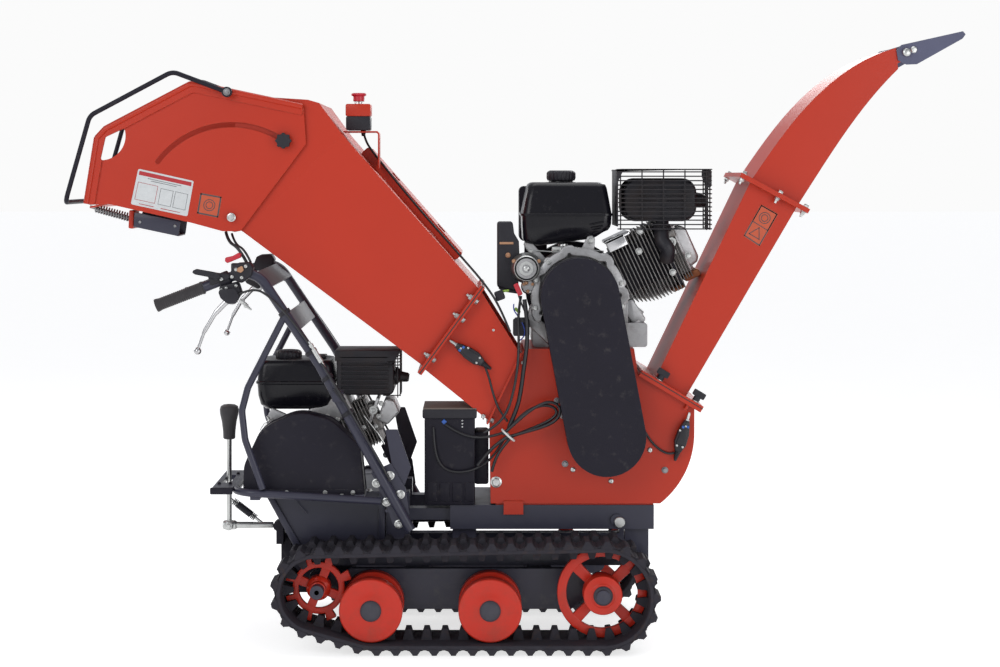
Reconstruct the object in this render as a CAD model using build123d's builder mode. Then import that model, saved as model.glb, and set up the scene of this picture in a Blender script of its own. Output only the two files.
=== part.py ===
from build123d import *
import os
from math import cos, radians, sin, tan

# Self-propelled wood chipper on rubber tracks, millimetres.
# +X is the discharge end, -Y the belt side, +Z up. The origin is on the ground, under the middle of the machine.
# Side profiles are drawn about a datum line: x runs along the machine from it, y is the height above the ground.

os.makedirs("parts", exist_ok=True)

datum_x = -98.0                  # X of the datum line, which centres the whole length on the origin
sheet = 3.0                      # sheet metal

# Tracks and wheels
track_y = 250.0                  # middle of each track
track_width = 180.0
belt_thick = 15.0
lug_height = 12.0
lug_pitch = 60.0
guide_height = 30.0
sprocket_at = (-402.0, 152.0)
idler_at = (304.0, 140.5)
rear_roller_at = (-269.0, 107.0)
front_roller_at = (25.0, 107.0)
sprocket_r = 86.0
idler_r = 112.0
roller_r = 78.5
belt_gap = 1.5                   # between a wheel's rim and the belt
axle_r = 17.0
axle_fit = 0.05
beam_y = 172.0                   # middle of a track frame's beam

# Chipping unit
rotor_at = (317.0, 524.0)
crank_at = (251.0, 873.0)
guard_r = 98.6
housing_half = 150.0
throat_half = 160.0
chute_half_low = 170.0
chute_half_high = 215.0
discharge_half = 140.0
hopper_half = 225.0
pivot_at = (-622.0, 1074.0)      # fold pivot of the hopper
slot_r = 232.0                   # slot round the fold pivot
slot_from = 55.7                 # degrees, where the knob stands in use
slot_sweep = 87.3
slot_width = 13.0

# Handlebar
bar_y = 265.0
bar_r = 12.5


def side(y):
    # side-view plane at depth y
    return Plane(origin=(datum_x, y, 0), x_dir=(1, 0, 0), z_dir=(0, -1, 0))


def spot(x, y, z):
    # a point given from the datum line
    return (datum_x + x, y, z)


def polar(centre, radius, angle):
    return (centre[0] + radius * cos(radians(angle)), centre[1] + radius * sin(radians(angle)))


def panel(outline, y_from, y_to, corner=0.0):
    # a side profile carried across from one depth to another
    with BuildPart() as piece:
        with BuildSketch(side((y_from + y_to) / 2)) as face:
            with BuildLine():
                Polyline(*outline, close=True)
            make_face()
            if corner > 0:
                fillet(face.vertices(), corner)
        extrude(amount=(y_to - y_from) / 2, both=True)
    return piece.part


def block(x_from, x_to, y_from, y_to, z_from, z_to, corner=0.0):
    return panel([(x_from, z_from), (x_to, z_from), (x_to, z_to), (x_from, z_to)], y_from, y_to, corner)


def disc(centre, radius, y_from, y_to, bore=0.0):
    with BuildPart() as piece:
        with BuildSketch(side((y_from + y_to) / 2)):
            with Locations(centre):
                Circle(radius)
                if bore > 0:
                    Circle(bore, mode=Mode.SUBTRACT)
        extrude(amount=(y_to - y_from) / 2, both=True)
    return piece.part


def rod(points, radius, bend=0.0):
    # a round bar along straight runs; bend is one corner radius, or a list with one for each corner
    with BuildPart() as bar:
        with BuildLine() as route:
            if len(points) > 2:
                FilletPolyline(*points, radius=bend)
            else:
                Line(*points)
        with BuildSketch(Plane(origin=route.line @ 0, z_dir=route.line % 0)):
            Circle(radius)
        sweep()
    return bar.part


def bolts(places, y, across=8.5, rise=6.0):
    # washers and hexagon heads on the near side
    with BuildPart() as row:
        with BuildSketch(side(y)):
            with Locations(*places):
                Circle(across * 1.3)
        extrude(amount=1.6)
        with BuildSketch(side(y - 1.6)):
            with Locations(*places):
                RegularPolygon(across, 6)
        extrude(amount=rise)
    return row.part


def both_sides(part):
    # a near-side part and its twin on the far side
    with BuildPart() as pair:
        add(part)
        mirror(about=Plane.XZ)
    return pair.part


def cord_radii(points):
    # the largest arc that each corner's two runs allow
    radii = []
    for before, corner, after in zip(points, points[1:], points[2:]):
        run_in = Vector(*corner) - Vector(*before)
        run_out = Vector(*after) - Vector(*corner)
        half_turn = radians(run_in.get_angle(run_out)) / 2
        radii.append(0.45 * min(run_in.length, run_out.length) / tan(half_turn))
    return radii


# ---- Tracks ----

def belt_outline(grow):
    # hull round the wheels, that much outside their rims
    wheels = [
        (sprocket_at, sprocket_r),
        (rear_roller_at, roller_r),
        (front_roller_at, roller_r),
        (idler_at, idler_r),
    ]
    with BuildSketch() as rims:
        for centre, radius in wheels:
            with Locations(centre):
                Circle(radius + grow)
    with BuildSketch() as hull:
        make_hull(rims.edges())
    return hull.sketch


belt_inner = belt_outline(belt_gap)
belt_outer = belt_outline(belt_gap + belt_thick)
outer_path = belt_outer.faces()[0].outer_wire()
inner_path = belt_inner.faces()[0].outer_wire()
lug_count = round(inner_path.length / lug_pitch)


def lug_row(path, shift, foot, crest, rise):
    # trapezoid lugs standing on a belt's surface, every pitch; rise is negative on the inside
    with BuildSketch() as lugs:
        for index in range(lug_count):
            along = ((index + shift) / lug_count) % 1.0
            base = path @ along
            heading = path % along
            outward = Vector(heading.Y, -heading.X)
            if outward.dot(base - Vector(0, 150)) < 0:
                outward = outward * -1
            root = base - outward * (3.0 if rise > 0 else -3.0)
            top = base + outward * rise
            with BuildLine():
                Polyline(
                    root - heading * (foot / 2),
                    root + heading * (foot / 2),
                    top + heading * (crest / 2),
                    top - heading * (crest / 2),
                    close=True,
                )
            make_face()
    return lugs.sketch


def across_belt(sketch, centre, y_from, y_to):
    # a flat sketch of the belt's side view carried over part of the belt's width
    place = side(centre + (y_from + y_to) / 2)
    return extrude(place * sketch, amount=(y_to - y_from) / 2, both=True)


def track_belt(centre):
    with BuildPart() as belt:
        add(across_belt(belt_outer - belt_inner, centre, -track_width / 2, track_width / 2))
        add(across_belt(lug_row(outer_path, 0.0, 26, 17, lug_height), centre, -track_width / 2, 8))
        add(across_belt(lug_row(outer_path, 0.5, 26, 17, lug_height), centre, -8, track_width / 2))
        guides = lug_row(inner_path, 0.25, 24, 12, -guide_height)
        add(across_belt(guides, centre, -32, -12))
        add(across_belt(guides, centre, 12, 32))
    return belt.part


with BuildPart() as rubber_tracks:
    add(track_belt(-track_y))
    add(track_belt(track_y))
rubber_tracks.part.label = "rubber_tracks"
export_step(rubber_tracks.part, "parts/rubber_tracks.step")

with BuildPart() as near_frame:
    add(panel([(-350, 84), (230, 84), (260, 110), (260, 170), (230, 186), (-330, 186), (-360, 160)],
              -beam_y - 12, -beam_y + 12))
    for wheel_at in (sprocket_at, rear_roller_at, front_roller_at, idler_at):
        add(disc(wheel_at, 34, -beam_y - 12, -beam_y + 12))
        add(disc(wheel_at, axle_r, -318, -beam_y))
    add(block(-410, -340, -beam_y - 12, -beam_y + 12, 120, 176))
    add(block(230, 310, -beam_y - 12, -beam_y + 12, 115, 165))
with BuildPart() as track_frames:
    add(both_sides(near_frame.part))
track_frames.part.label = "track_frames"
export_step(track_frames.part, "parts/track_frames.step")


def hub(centre, hub_r, y_from):
    # hub closed at its outer end, running on a fixed axle
    with BuildPart() as piece:
        add(disc(centre, hub_r, -332, y_from))
        add(disc(centre, axle_r + 7, -337, -332))
        add(disc(centre, axle_r + axle_fit, -320, y_from), mode=Mode.SUBTRACT)
    return piece.part


def sprocket(arms=5):
    # star wheel whose rim runs between the belt's guide lugs
    with BuildPart() as wheel:
        with BuildSketch(side(-track_y)):
            with Locations(sprocket_at):
                Circle(sprocket_r)
                Circle(sprocket_r - 17, mode=Mode.SUBTRACT)
                with PolarLocations(0, arms, start_angle=20):
                    with Locations((sprocket_r / 2, 0)):
                        Rectangle(sprocket_r - 12, 20)
                with PolarLocations(sprocket_r + 1, arms, start_angle=20 + 180 / arms):
                    Circle(24, mode=Mode.SUBTRACT)
        extrude(amount=8, both=True)
        add(hub(sprocket_at, 30, -240))
        add(disc(sprocket_at, axle_r + axle_fit, -320, -230), mode=Mode.SUBTRACT)
    return wheel.part


def idler(spokes=4):
    # spoked rim that runs between the belt's guide lugs
    with BuildPart() as wheel:
        with BuildSketch(side(-track_y)):
            with Locations(idler_at):
                Circle(idler_r)
                Circle(idler_r - 23, mode=Mode.SUBTRACT)
                Circle(47)
                with PolarLocations(0, spokes, start_angle=42):
                    with Locations((idler_r / 2, 0)):
                        Rectangle(idler_r - 12, 24)
        extrude(amount=9, both=True)
        add(hub(idler_at, 44, -235))
        add(disc(idler_at, axle_r + axle_fit, -320, -230), mode=Mode.SUBTRACT)
    return wheel.part


def roller(centre):
    # two dished discs that straddle the belt's guide lugs
    with BuildPart() as wheel:
        add(hub(centre, 30, -192))
        for outer in (-312, -212):
            add(disc(centre, roller_r, outer, outer + 24))
        add(disc(centre, roller_r - 11, -312, -307), mode=Mode.SUBTRACT)
        add(disc(centre, 46, -322, -300))
        add(disc(centre, axle_r + axle_fit, -320, -188), mode=Mode.SUBTRACT)
    return wheel.part


wheels = {
    "sprocket": sprocket(),
    "idler": idler(),
    "rear_roller": roller(rear_roller_at),
    "front_roller": roller(front_roller_at),
}
for wheel_name, near_wheel in wheels.items():
    with BuildPart() as wheel_near:
        add(near_wheel)
    wheel_near.part.label = wheel_name + "_near"
    export_step(wheel_near.part, f"parts/{wheel_name}_near.step")
    with BuildPart() as wheel_far:
        add(near_wheel)
        mirror(about=Plane.XZ, mode=Mode.REPLACE)
    wheel_far.part.label = wheel_name + "_far"
    export_step(wheel_far.part, f"parts/{wheel_name}_far.step")

# ---- Chassis ----

rail_top = 228.0
deck_low = 280.0
deck_top = 341.0
gate_z = 388.0
lever_at = (-643.5, -100.0)      # X from the datum line, and Y, of the gear lever
lever_pivot_z = 282.0

with BuildPart() as chassis_frame:
    add(block(-76, 442, -150, 150, deck_low, deck_top))
    add(block(-68, 434, -142, 142, deck_low, deck_top - 6), mode=Mode.SUBTRACT)
    for rail_y in (-130, 90):
        add(block(-440, 430, rail_y, rail_y + 40, 184, rail_top))
        add(block(-70, -10, rail_y, rail_y + 40, rail_top, deck_low))
        add(block(370, 430, rail_y, rail_y + 40, rail_top, deck_low))
        add(block(-240, -180, rail_y, rail_y + 40, rail_top, 372))
        add(block(-240, -76, rail_y, rail_y + 40, 300, 330))
    for cross_x in (-160, 150):
        add(block(cross_x - 30, cross_x + 30, -160, 160, 110, 184))
    add(disc((347, 304), 15, -158, -150))
chassis_frame.part.label = "chassis_frame"
export_step(chassis_frame.part, "parts/chassis_frame.step")

bay_outline = [(-541, 358), (-461, 229), (-242, 229), (-242, 371), (-541, 371)]
bay_inside = [(-533, 360), (-457, 233), (-246, 233), (-246, 375), (-533, 375)]
with BuildPart() as engine_bay:
    add(panel(bay_outline, -140, 140))
    add(panel(bay_inside, -136, 136), mode=Mode.SUBTRACT)
    add(block(-560, -244, -150, 150, 371, 376))
engine_bay.part.label = "engine_bay"
export_step(engine_bay.part, "parts/engine_bay.step")

with BuildPart() as gearbox:
    add(block(-512, -330, -80, 80, 105, 226, 14))
    add(block(-512, -486, -80, 80, 200, 258, 10))
    add(disc(sprocket_at, 30, -160, 160))
    add(disc((-516, lever_pivot_z), 13, -118, -82))
    add(block(-521, -503, -118, -79, 236, lever_pivot_z))
gearbox.part.label = "gearbox"
export_step(gearbox.part, "parts/gearbox.step")

with BuildPart() as gear_lever:
    add(rod([spot(*lever_at, 270), spot(*lever_at, 515)], 6.5))
    with BuildSketch(Plane(origin=spot(*lever_at, 503))):
        Circle(17)
    with BuildSketch(Plane(origin=spot(*lever_at, 575))):
        Circle(24)
    loft()
    with BuildSketch(Plane(origin=spot(*lever_at, 575))):
        Circle(24)
    extrude(amount=14)
    fillet(gear_lever.edges().group_by(Axis.Z)[-1], 9)
    add(block(-656, -631, -116, -84, 264, 300, 5))
    add(rod([spot(-650, -100, lever_pivot_z), spot(-530, -100, lever_pivot_z)], 8))
    add(rod([spot(*lever_at, 352), spot(-560, -100, 288)], 5))
    add(rod([spot(-620, -100, 334), spot(-585, -100, 307.2)], 9))
gear_lever.part.label = "gear_lever"
export_step(gear_lever.part, "parts/gear_lever.step")

rail_points = [spot(-246, -260, 369), spot(-614, -260, 391), spot(-614, 260, 391), spot(-246, 260, 369)]
with BuildPart() as bumper_rail:
    add(rod(rail_points, 9.5, 55))
    for stay_x in (-560, -300):
        add(both_sides(block(stay_x - 12, stay_x + 12, -258, -150, 371, 377)))
        add(both_sides(block(stay_x - 12, stay_x + 12, -262, -244, 371, 384)))
    add(block(-670, -617, -260, 50, gate_z, gate_z + 13, 4))
    with BuildSketch(Plane(origin=spot(*lever_at, gate_z - 5))):
        SlotOverall(130, 24, rotation=90)
    extrude(amount=30, mode=Mode.SUBTRACT)
bumper_rail.part.label = "bumper_rail"
export_step(bumper_rail.part, "parts/bumper_rail.step")

cover_outline = [(-594, 387), (-590, 450), (-545, 530), (-480, 576), (-415, 581), (-345, 545), (-300, 480),
                 (-289, 387)]
cover_inside = [(-590, 391), (-586, 449), (-542, 527), (-479, 572), (-416, 577), (-348, 542), (-304, 478),
                (-293, 391)]
with BuildPart() as drive_belt_cover:
    add(panel(cover_outline, -225, -170, 20))
    add(panel(cover_inside, -222, -160, 18), mode=Mode.SUBTRACT)
    add(block(-590, -293, -170, -150, 377, 391))
drive_belt_cover.part.label = "drive_belt_cover"
export_step(drive_belt_cover.part, "parts/drive_belt_cover.step")

# ---- Handlebar ----

bar_points = [spot(-800, -bar_y, 857), spot(-561, -bar_y, 949), spot(-399, -bar_y, 708), spot(-172, -bar_y, 297)]
brace_points = [spot(-484, -bar_y, 834), spot(-577, -bar_y, 652), spot(-592, -bar_y, 594), spot(-584, -bar_y, 522),
                spot(-540, -bar_y, 399)]
bracket_outline = [(-272, 440), (-222, 462), (-185, 400), (-176, 335), (-215, 305), (-236, 366)]
arm_outline = [(-236, 545), (-205, 545), (-172, 450), (-188, 406), (-215, 410), (-222, 470)]
with BuildPart() as near_bar:
    add(rod(bar_points, bar_r, 62))
    add(rod(brace_points, 8.5, [60, 40, 60]))
    add(panel(bracket_outline, -257, -251, 4))
    add(panel(arm_outline, -251, -242, 4))
    add(block(-366, -340, -288, -250, 618, 644, 5))
    add(block(-236, -190, -257, -130, 340, 346))
with BuildPart() as handlebar_frame:
    add(both_sides(near_bar.part))
    add(panel([(-562, 934), (-520, 900), (-516, 904), (-558, 938)], -262, 262))
    add(panel([(-485, 834), (-455, 789), (-451, 792), (-481, 837)], -262, 262))
handlebar_frame.part.label = "handlebar_frame"
export_step(handlebar_frame.part, "parts/handlebar_frame.step")

with BuildPart() as near_grip:
    add(rod([spot(-803, -bar_y, 855.8), spot(-687, -bar_y, 900.5)], 16.5))
    add(rod(bar_points, bar_r, 62), mode=Mode.SUBTRACT)
with BuildPart() as grips:
    add(both_sides(near_grip.part))
grips.part.label = "grips"
export_step(grips.part, "parts/grips.step")

mount_outline = [(-651, 896), (-593, 922), (-574, 865), (-600, 850), (-641, 862)]
switch_outline = [(-624, 926), (-608, 958), (-568, 962), (-568, 934), (-590, 914)]
with BuildPart() as near_mount:
    add(panel(mount_outline, -287, -243, 5))
    add(panel(switch_outline, -287, -243, 5))
    add(rod(bar_points, bar_r, 62), mode=Mode.SUBTRACT)
with BuildPart() as lever_mounts:
    add(both_sides(near_mount.part))
    add(block(-618, -598, -274, -256, 942, 961.5))
    add(rod(bar_points, bar_r, 62), mode=Mode.SUBTRACT)
    add(block(-668, -648, -287, -279, 925, 937))
    add(block(-660, -618, -281, -277.5, 905, 925))
lever_mounts.part.label = "lever_mounts"
export_step(lever_mounts.part, "parts/lever_mounts.step")

lever_points = [spot(-622, -294, 868), spot(-652, -294, 836), spot(-680, -294, 790), spot(-694, -294, 758)]
clutch_pivot = (-612.0, 872.0)
with BuildPart() as clutch_lever_near:
    add(rod(lever_points, 4.5, [50, 60]))
    with Locations(spot(-698, -294, 745)):
        Sphere(9.5)
    add(rod([spot(-694, -294, 758), spot(-698, -294, 745)], 4.5))
    add(disc(clutch_pivot, 13, -299, -288.5))
    add(rod([spot(-612, -294, 872), spot(-622, -294, 868)], 4.5))
clutch_lever_near.part.label = "clutch_lever_near"
export_step(clutch_lever_near.part, "parts/clutch_lever_near.step")
with BuildPart() as clutch_lever_far:
    add(clutch_lever_near.part)
    mirror(about=Plane.XZ, mode=Mode.REPLACE)
clutch_lever_far.part.label = "clutch_lever_far"
export_step(clutch_lever_far.part, "parts/clutch_lever_far.step")

throttle_pivot = (-650.0, 931.0)
with BuildPart() as throttle_lever:
    add(rod([spot(-704, -294, 941), spot(-652, -294, 932)], 4.5))
    add(disc(throttle_pivot, 12, -299, -288.5))
throttle_lever.part.label = "throttle_lever"
export_step(throttle_lever.part, "parts/throttle_lever.step")

rocker_outline = [(-631, 974), (-598, 986), (-594, 975), (-627, 962)]
with BuildPart() as rocker_switch:
    add(panel(rocker_outline, -278, -252, 2))
    add(disc((-612, 966), 3, -280, -250))
rocker_switch.part.label = "rocker_switch"
export_step(rocker_switch.part, "parts/rocker_switch.step")

# ---- Drive engine ----

def finned(foot, tilt, first, last, width, fins, y_half):
    # a cylinder of an engine: a core with cooling fins square to its tilted axis
    step = (last - first) / fins
    with BuildPart() as piece:
        with BuildSketch(side(0)):
            with Locations(Location((foot[0], foot[1]), tilt)):
                with Locations(((first + last) / 2, 0)):
                    Rectangle(last - first, width * 0.66)
                for index in range(fins):
                    with Locations((first + (index + 0.5) * step, 0)):
                        Rectangle(step * 0.38, width)
        extrude(amount=y_half, both=True)
    return piece.part


drive_crank = (-430.0, 475.0)
with BuildPart() as drive_engine:
    add(disc(drive_crank, 82, -110, 95))
    add(block(-525, -335, -85, 95, 377, 470, 10))
    add(finned(drive_crank, 25, 80, 190, 125, 9, 62))
    add(panel([(-268, 560), (-246, 610), (-222, 600), (-246, 548)], -50, 50, 5))
    add(disc(drive_crank, 12, -165, -110))
drive_engine.part.label = "drive_engine"
export_step(drive_engine.part, "parts/drive_engine.step")

small_tank_outline = [(-572, 606), (-560, 690), (-545, 703), (-395, 703), (-380, 690), (-378, 575), (-545, 575)]
with BuildPart() as drive_engine_tank:
    add(panel(small_tank_outline, -95, 85, 10))
    with BuildSketch(Plane(origin=spot(-500, 0, 703))):
        Circle(30)
    extrude(amount=20)
drive_engine_tank.part.label = "drive_engine_tank"
export_step(drive_engine_tank.part, "parts/drive_engine_tank.step")

with BuildPart() as drive_engine_muffler:
    add(block(-372, -205, -80, 60, 612, 728, 12))
    with BuildSketch(side(-80)):
        with Locations((-290, 668)):
            with GridLocations(0, 13, 1, 7):
                SlotOverall(140, 6)
    extrude(amount=-8, mode=Mode.SUBTRACT)
    with BuildSketch(Plane(origin=spot(-205, -30, 660), z_dir=(1, 0, 0))):
        Circle(24)
    with BuildSketch(Plane(origin=spot(-183, -30, 656), z_dir=(1, 0, 0))):
        Circle(13)
    loft()
drive_engine_muffler.part.label = "drive_engine_muffler"
export_step(drive_engine_muffler.part, "parts/drive_engine_muffler.step")

# ---- Main engine ----

starter_at = (118.0, 942.0)
with BuildPart() as engine_block:
    add(disc(crank_at, 114, -110, 150))
    add(block(135, 430, -95, 150, 738, 800, 8))
    add(block(140, 380, -90, 150, 800, 870))
    add(disc(starter_at, 30, -150, -92))
    add(disc((122, 898), 15, -140, -60))
    add(block(120, 172, -92, -40, 890, 945))
    add(panel([(365, 800), (400, 845), (425, 826), (392, 782)], -60, -20, 4))
engine_block.part.label = "engine_block"
export_step(engine_block.part, "parts/engine_block.step")

with BuildPart() as engine_cylinder:
    add(finned(crank_at, 25, 116, 258, 178, 12, 88))
    add(disc(crank_at, 115, -160, 160), mode=Mode.SUBTRACT)
    add(block(130, 435, -160, 160, 730, 872), mode=Mode.SUBTRACT)
    add(block(90, 346, -160, 160, 984, 1100), mode=Mode.SUBTRACT)
    with BuildSketch(side(0)):
        with Locations(Location(crank_at, 25)):
            with Locations((279, 0)):
                Rectangle(42, 96)
    extrude(amount=62, both=True)
engine_cylinder.part.label = "engine_cylinder"
export_step(engine_cylinder.part, "parts/engine_cylinder.step")

tank_outline = [(105, 1078), (120, 1150), (135, 1161), (318, 1161), (330, 1150), (343, 1078), (343, 1012),
                (322, 998), (128, 998), (105, 1018)]
with BuildPart() as engine_tank:
    add(panel(tank_outline, -108, 130, 7))
    with BuildSketch(Plane(origin=spot(212, 0, 1161))):
        Circle(31)
    extrude(amount=3)
    for foot_x in (140, 284):
        add(block(foot_x, foot_x + 26, -84, 120, 988, 998))
engine_tank.part.label = "engine_tank"
export_step(engine_tank.part, "parts/engine_tank.step")

with BuildPart() as fuel_cap:
    with BuildSketch(Plane(origin=spot(212, 0, 1165))):
        Circle(38)
    extrude(amount=27)
    fillet(fuel_cap.edges().group_by(Axis.Z)[-1], 6)
fuel_cap.part.label = "fuel_cap"
export_step(fuel_cap.part, "parts/fuel_cap.step")

with BuildPart() as engine_muffler:
    add(block(368, 556, -104, 60, 1064, 1168, 28))
    add(rod([spot(467, -99, 1068), spot(467, -99, 1000)], 9))
    with BuildSketch(Plane(origin=spot(556, -40, 1118), z_dir=(1, 0, 0))):
        Circle(24)
    with BuildSketch(Plane(origin=spot(590, -40, 1112), z_dir=(1, 0, 0))):
        Circle(13)
    loft()
engine_muffler.part.label = "engine_muffler"
export_step(engine_muffler.part, "parts/engine_muffler.step")

with BuildPart() as muffler_guard:
    add(block(350, 596, -114, 75, 1040, 1197))
    add(block(353, 593, -111, 80, 1030, 1194), mode=Mode.SUBTRACT)
    with BuildSketch(side(-112)):
        with Locations((473, 1118)):
            with GridLocations(58, 11.5, 4, 12):
                Rectangle(54, 8)
    extrude(amount=5, both=True, mode=Mode.SUBTRACT)
    with BuildSketch(Plane(origin=spot(594, -18, 1118), x_dir=(0, 1, 0), z_dir=(1, 0, 0))):
        with GridLocations(58, 11.5, 3, 12):
            Rectangle(54, 8)
    extrude(amount=6, both=True, mode=Mode.SUBTRACT)
muffler_guard.part.label = "muffler_guard"
export_step(muffler_guard.part, "parts/muffler_guard.step")

with BuildPart() as control_box:
    add(block(46, 100, -90, -34, 892, 1060, 8))
    add(block(38, 46, -80, -50, 940, 1000))
    add(block(100, 164, -60, -54, 952, 960))
control_box.part.label = "control_box"
export_step(control_box.part, "parts/control_box.step")

with BuildPart() as engine_shroud:
    add(disc(crank_at, 128, 150, 212))
    add(disc(crank_at, 82, 212, 236))
    add(block(105, 235, 135, 235, 1003, 1150, 14))
    add(block(120, 180, 150, 200, 900, 1003))
engine_shroud.part.label = "engine_shroud"
export_step(engine_shroud.part, "parts/engine_shroud.step")

# ---- Belt drive ----

def two_wheel_hull(first, first_r, second, second_r):
    with BuildSketch() as rims:
        with Locations(first):
            Circle(first_r)
        with Locations(second):
            Circle(second_r)
    with BuildSketch() as hull:
        make_hull(rims.edges())
    return hull.sketch


crank_pulley_r = 52.0
rotor_pulley_r = 80.0
belt_rise = 9.0
guard_wall = 2.5
guard_depth = 82.0

with BuildPart() as belt_guard:
    add(extrude(side(-240) * two_wheel_hull(crank_at, guard_r, rotor_at, guard_r), amount=-guard_depth))
    guard_inside = two_wheel_hull(crank_at, guard_r - guard_wall, rotor_at, guard_r - guard_wall)
    add(extrude(side(-240 + guard_wall) * guard_inside, amount=-90), mode=Mode.SUBTRACT)
belt_guard.part.label = "belt_guard"
export_step(belt_guard.part, "parts/belt_guard.step")

with BuildPart() as crank_pulley:
    add(disc(crank_at, crank_pulley_r, -225, -172))
    add(disc(crank_at, 16, -172, -112))
crank_pulley.part.label = "crank_pulley"
export_step(crank_pulley.part, "parts/crank_pulley.step")

with BuildPart() as drive_belts:
    for belt_y in (-217, -199, -181):
        ring_out = two_wheel_hull(
            crank_at, crank_pulley_r + 1 + belt_rise, rotor_at, rotor_pulley_r + 1 + belt_rise
        )
        ring_in = two_wheel_hull(crank_at, crank_pulley_r + 1, rotor_at, rotor_pulley_r + 1)
        add(extrude(side(belt_y) * (ring_out - ring_in), amount=6, both=True))
drive_belts.part.label = "drive_belts"
export_step(drive_belts.part, "parts/drive_belts.step")

shaft_r = 25.0
rotor_r = 140.0
with BuildPart() as rotor:
    add(disc(rotor_at, shaft_r, -225, 172))
    add(disc(rotor_at, rotor_r, -135, 135))
    add(disc(rotor_at, rotor_pulley_r, -225, -172))
    with BuildSketch(side(0)):
        with Locations(rotor_at):
            with PolarLocations(rotor_r + 8, 2, start_angle=100):
                Rectangle(36, 22)
    extrude(amount=132, both=True)
rotor.part.label = "rotor"
export_step(rotor.part, "parts/rotor.step")

with BuildPart() as rotor_bearings:
    add(disc(rotor_at, 56, -168, -housing_half, shaft_r + axle_fit))
    add(disc(rotor_at, 56, housing_half, 170, shaft_r + axle_fit))
rotor_bearings.part.label = "rotor_bearings"
export_step(rotor_bearings.part, "parts/rotor_bearings.step")

# ---- Chipper housing ----

# the discharge flange leans along outlet_run, square to outlet_up
outlet_corner = Vector(407, 680)
outlet_run = Vector(156, -93).normalized()
outlet_up = Vector(93, 156).normalized()
outlet_length = 181.6
throat_corner = Vector(24, 555)
throat_run = Vector(81, 167).normalized()
throat_out = Vector(-167, 81).normalized()
inlet_low = Vector(-153, 678)
inlet_run = Vector(160, 219).normalized()
inlet_in = Vector(219, -160).normalized()
inlet_length = 271.2
knob_runs = (51.0, 157.0)
key_run = 146.0
stud_y = -161.0                  # the clamp studs stand in the flange, clear of the duct's side


def outlet_stud(run, off_from, off_to, radius):
    # a round bar square to the discharge flange, beside the duct on the near side
    low = outlet_corner + outlet_run * run + outlet_up * off_from
    high = outlet_corner + outlet_run * run + outlet_up * off_to
    return rod([spot(low.X, stud_y, low.Y), spot(high.X, stud_y, high.Y)], radius)


def strip(corner, run, out, run_from, run_to, out_from, out_to):
    # four corners of a straight strip laid along run, with its thickness along out
    return [
        tuple(corner + run * along + out * off)[:2]
        for along, off in ((run_from, out_from), (run_to, out_from), (run_to, out_to), (run_from, out_to))
    ]


def housing_profile(inset):
    with BuildSketch() as face:
        with BuildLine():
            Polyline((458, 345), (27, 345), (24, 555), (105, 722), (112, 738), (392, 738), (402, 672), (545, 587),
                     (545, 524))
            ThreePointArc((545, 524), polar(rotor_at, 228, -26), (458, 345))
        make_face()
        if inset > 0:
            offset(amount=-inset, mode=Mode.REPLACE)
    return face.sketch


with BuildPart() as rotor_housing:
    add(extrude(side(0) * housing_profile(0), amount=housing_half, both=True))
    add(extrude(side(0) * housing_profile(5), amount=housing_half - 5, both=True), mode=Mode.SUBTRACT)
    add(panel(strip(outlet_corner, outlet_run, outlet_up, 0, outlet_length, -10, 0), -172, 172))
    add(panel(strip(outlet_corner, outlet_run, outlet_up, 48, 130, -40, 12), -134, 134), mode=Mode.SUBTRACT)
    add(panel(strip(throat_corner, throat_run, throat_out, 20, 165, -30, 12), -140, 140), mode=Mode.SUBTRACT)
    for stud_run in knob_runs + (key_run,):
        add(outlet_stud(stud_run, -20, 12, 6.5), mode=Mode.SUBTRACT)
    add(disc(rotor_at, shaft_r + 2, -160, 160), mode=Mode.SUBTRACT)
    add(both_sides(block(60, 110, -158, -housing_half, 318, 352)))
    add(block(40, 440, -145, 145, 341, 345))
rotor_housing.part.label = "rotor_housing"
export_step(rotor_housing.part, "parts/rotor_housing.step")

with BuildPart() as bed_knife:
    add(block(60, 124, -140, 140, 440, 455))
    add(block(32, 100, -140, 140, 418, 440))
bed_knife.part.label = "bed_knife"
export_step(bed_knife.part, "parts/bed_knife.step")

throat_outline = [(-144, 690), (1, 888), (104.7, 722.1), (23.7, 555.1)]
throat_inside = [(-152, 700), (-4, 902), (103, 731), (115, 712), (33, 545), (22, 560)]
with BuildPart() as throat:
    add(panel(throat_outline, -throat_half, throat_half))
    add(panel(throat_inside, -throat_half + sheet, throat_half - sheet), mode=Mode.SUBTRACT)
    add(panel(strip(inlet_low, inlet_run, inlet_in, 0, inlet_length, 0, 6), -190, 190))
    add(panel(strip(inlet_low, inlet_run, inlet_in, 20, inlet_length - 20, -4, 10), -157, 157),
        mode=Mode.SUBTRACT)
    add(panel(strip(throat_corner, throat_run, throat_out, -8, 192, 0.2, 5), -172, 172))
    add(panel(strip(throat_corner, throat_run, throat_out, 20, 165, -6, 12), -140, 140), mode=Mode.SUBTRACT)
throat.part.label = "throat"
export_step(throat.part, "parts/throat.step")

# ---- Infeed ----

mouth_run = Vector(250, 244).normalized()


def duct_section(middle, run, length, width):
    # a rectangle across a duct: length lies in the side view along run, width lies along Y
    place = Plane(origin=spot(middle.X, 0, middle.Y), x_dir=(run.X, 0, run.Y), z_dir=(-run.Y, 0, run.X))
    with BuildSketch(place) as section:
        Rectangle(length, width)
    return section.sketch


def duct(low, low_run, low_size, high, high_run, high_size):
    return loft([duct_section(low, low_run, *low_size), duct_section(high, high_run, *high_size)])


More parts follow.
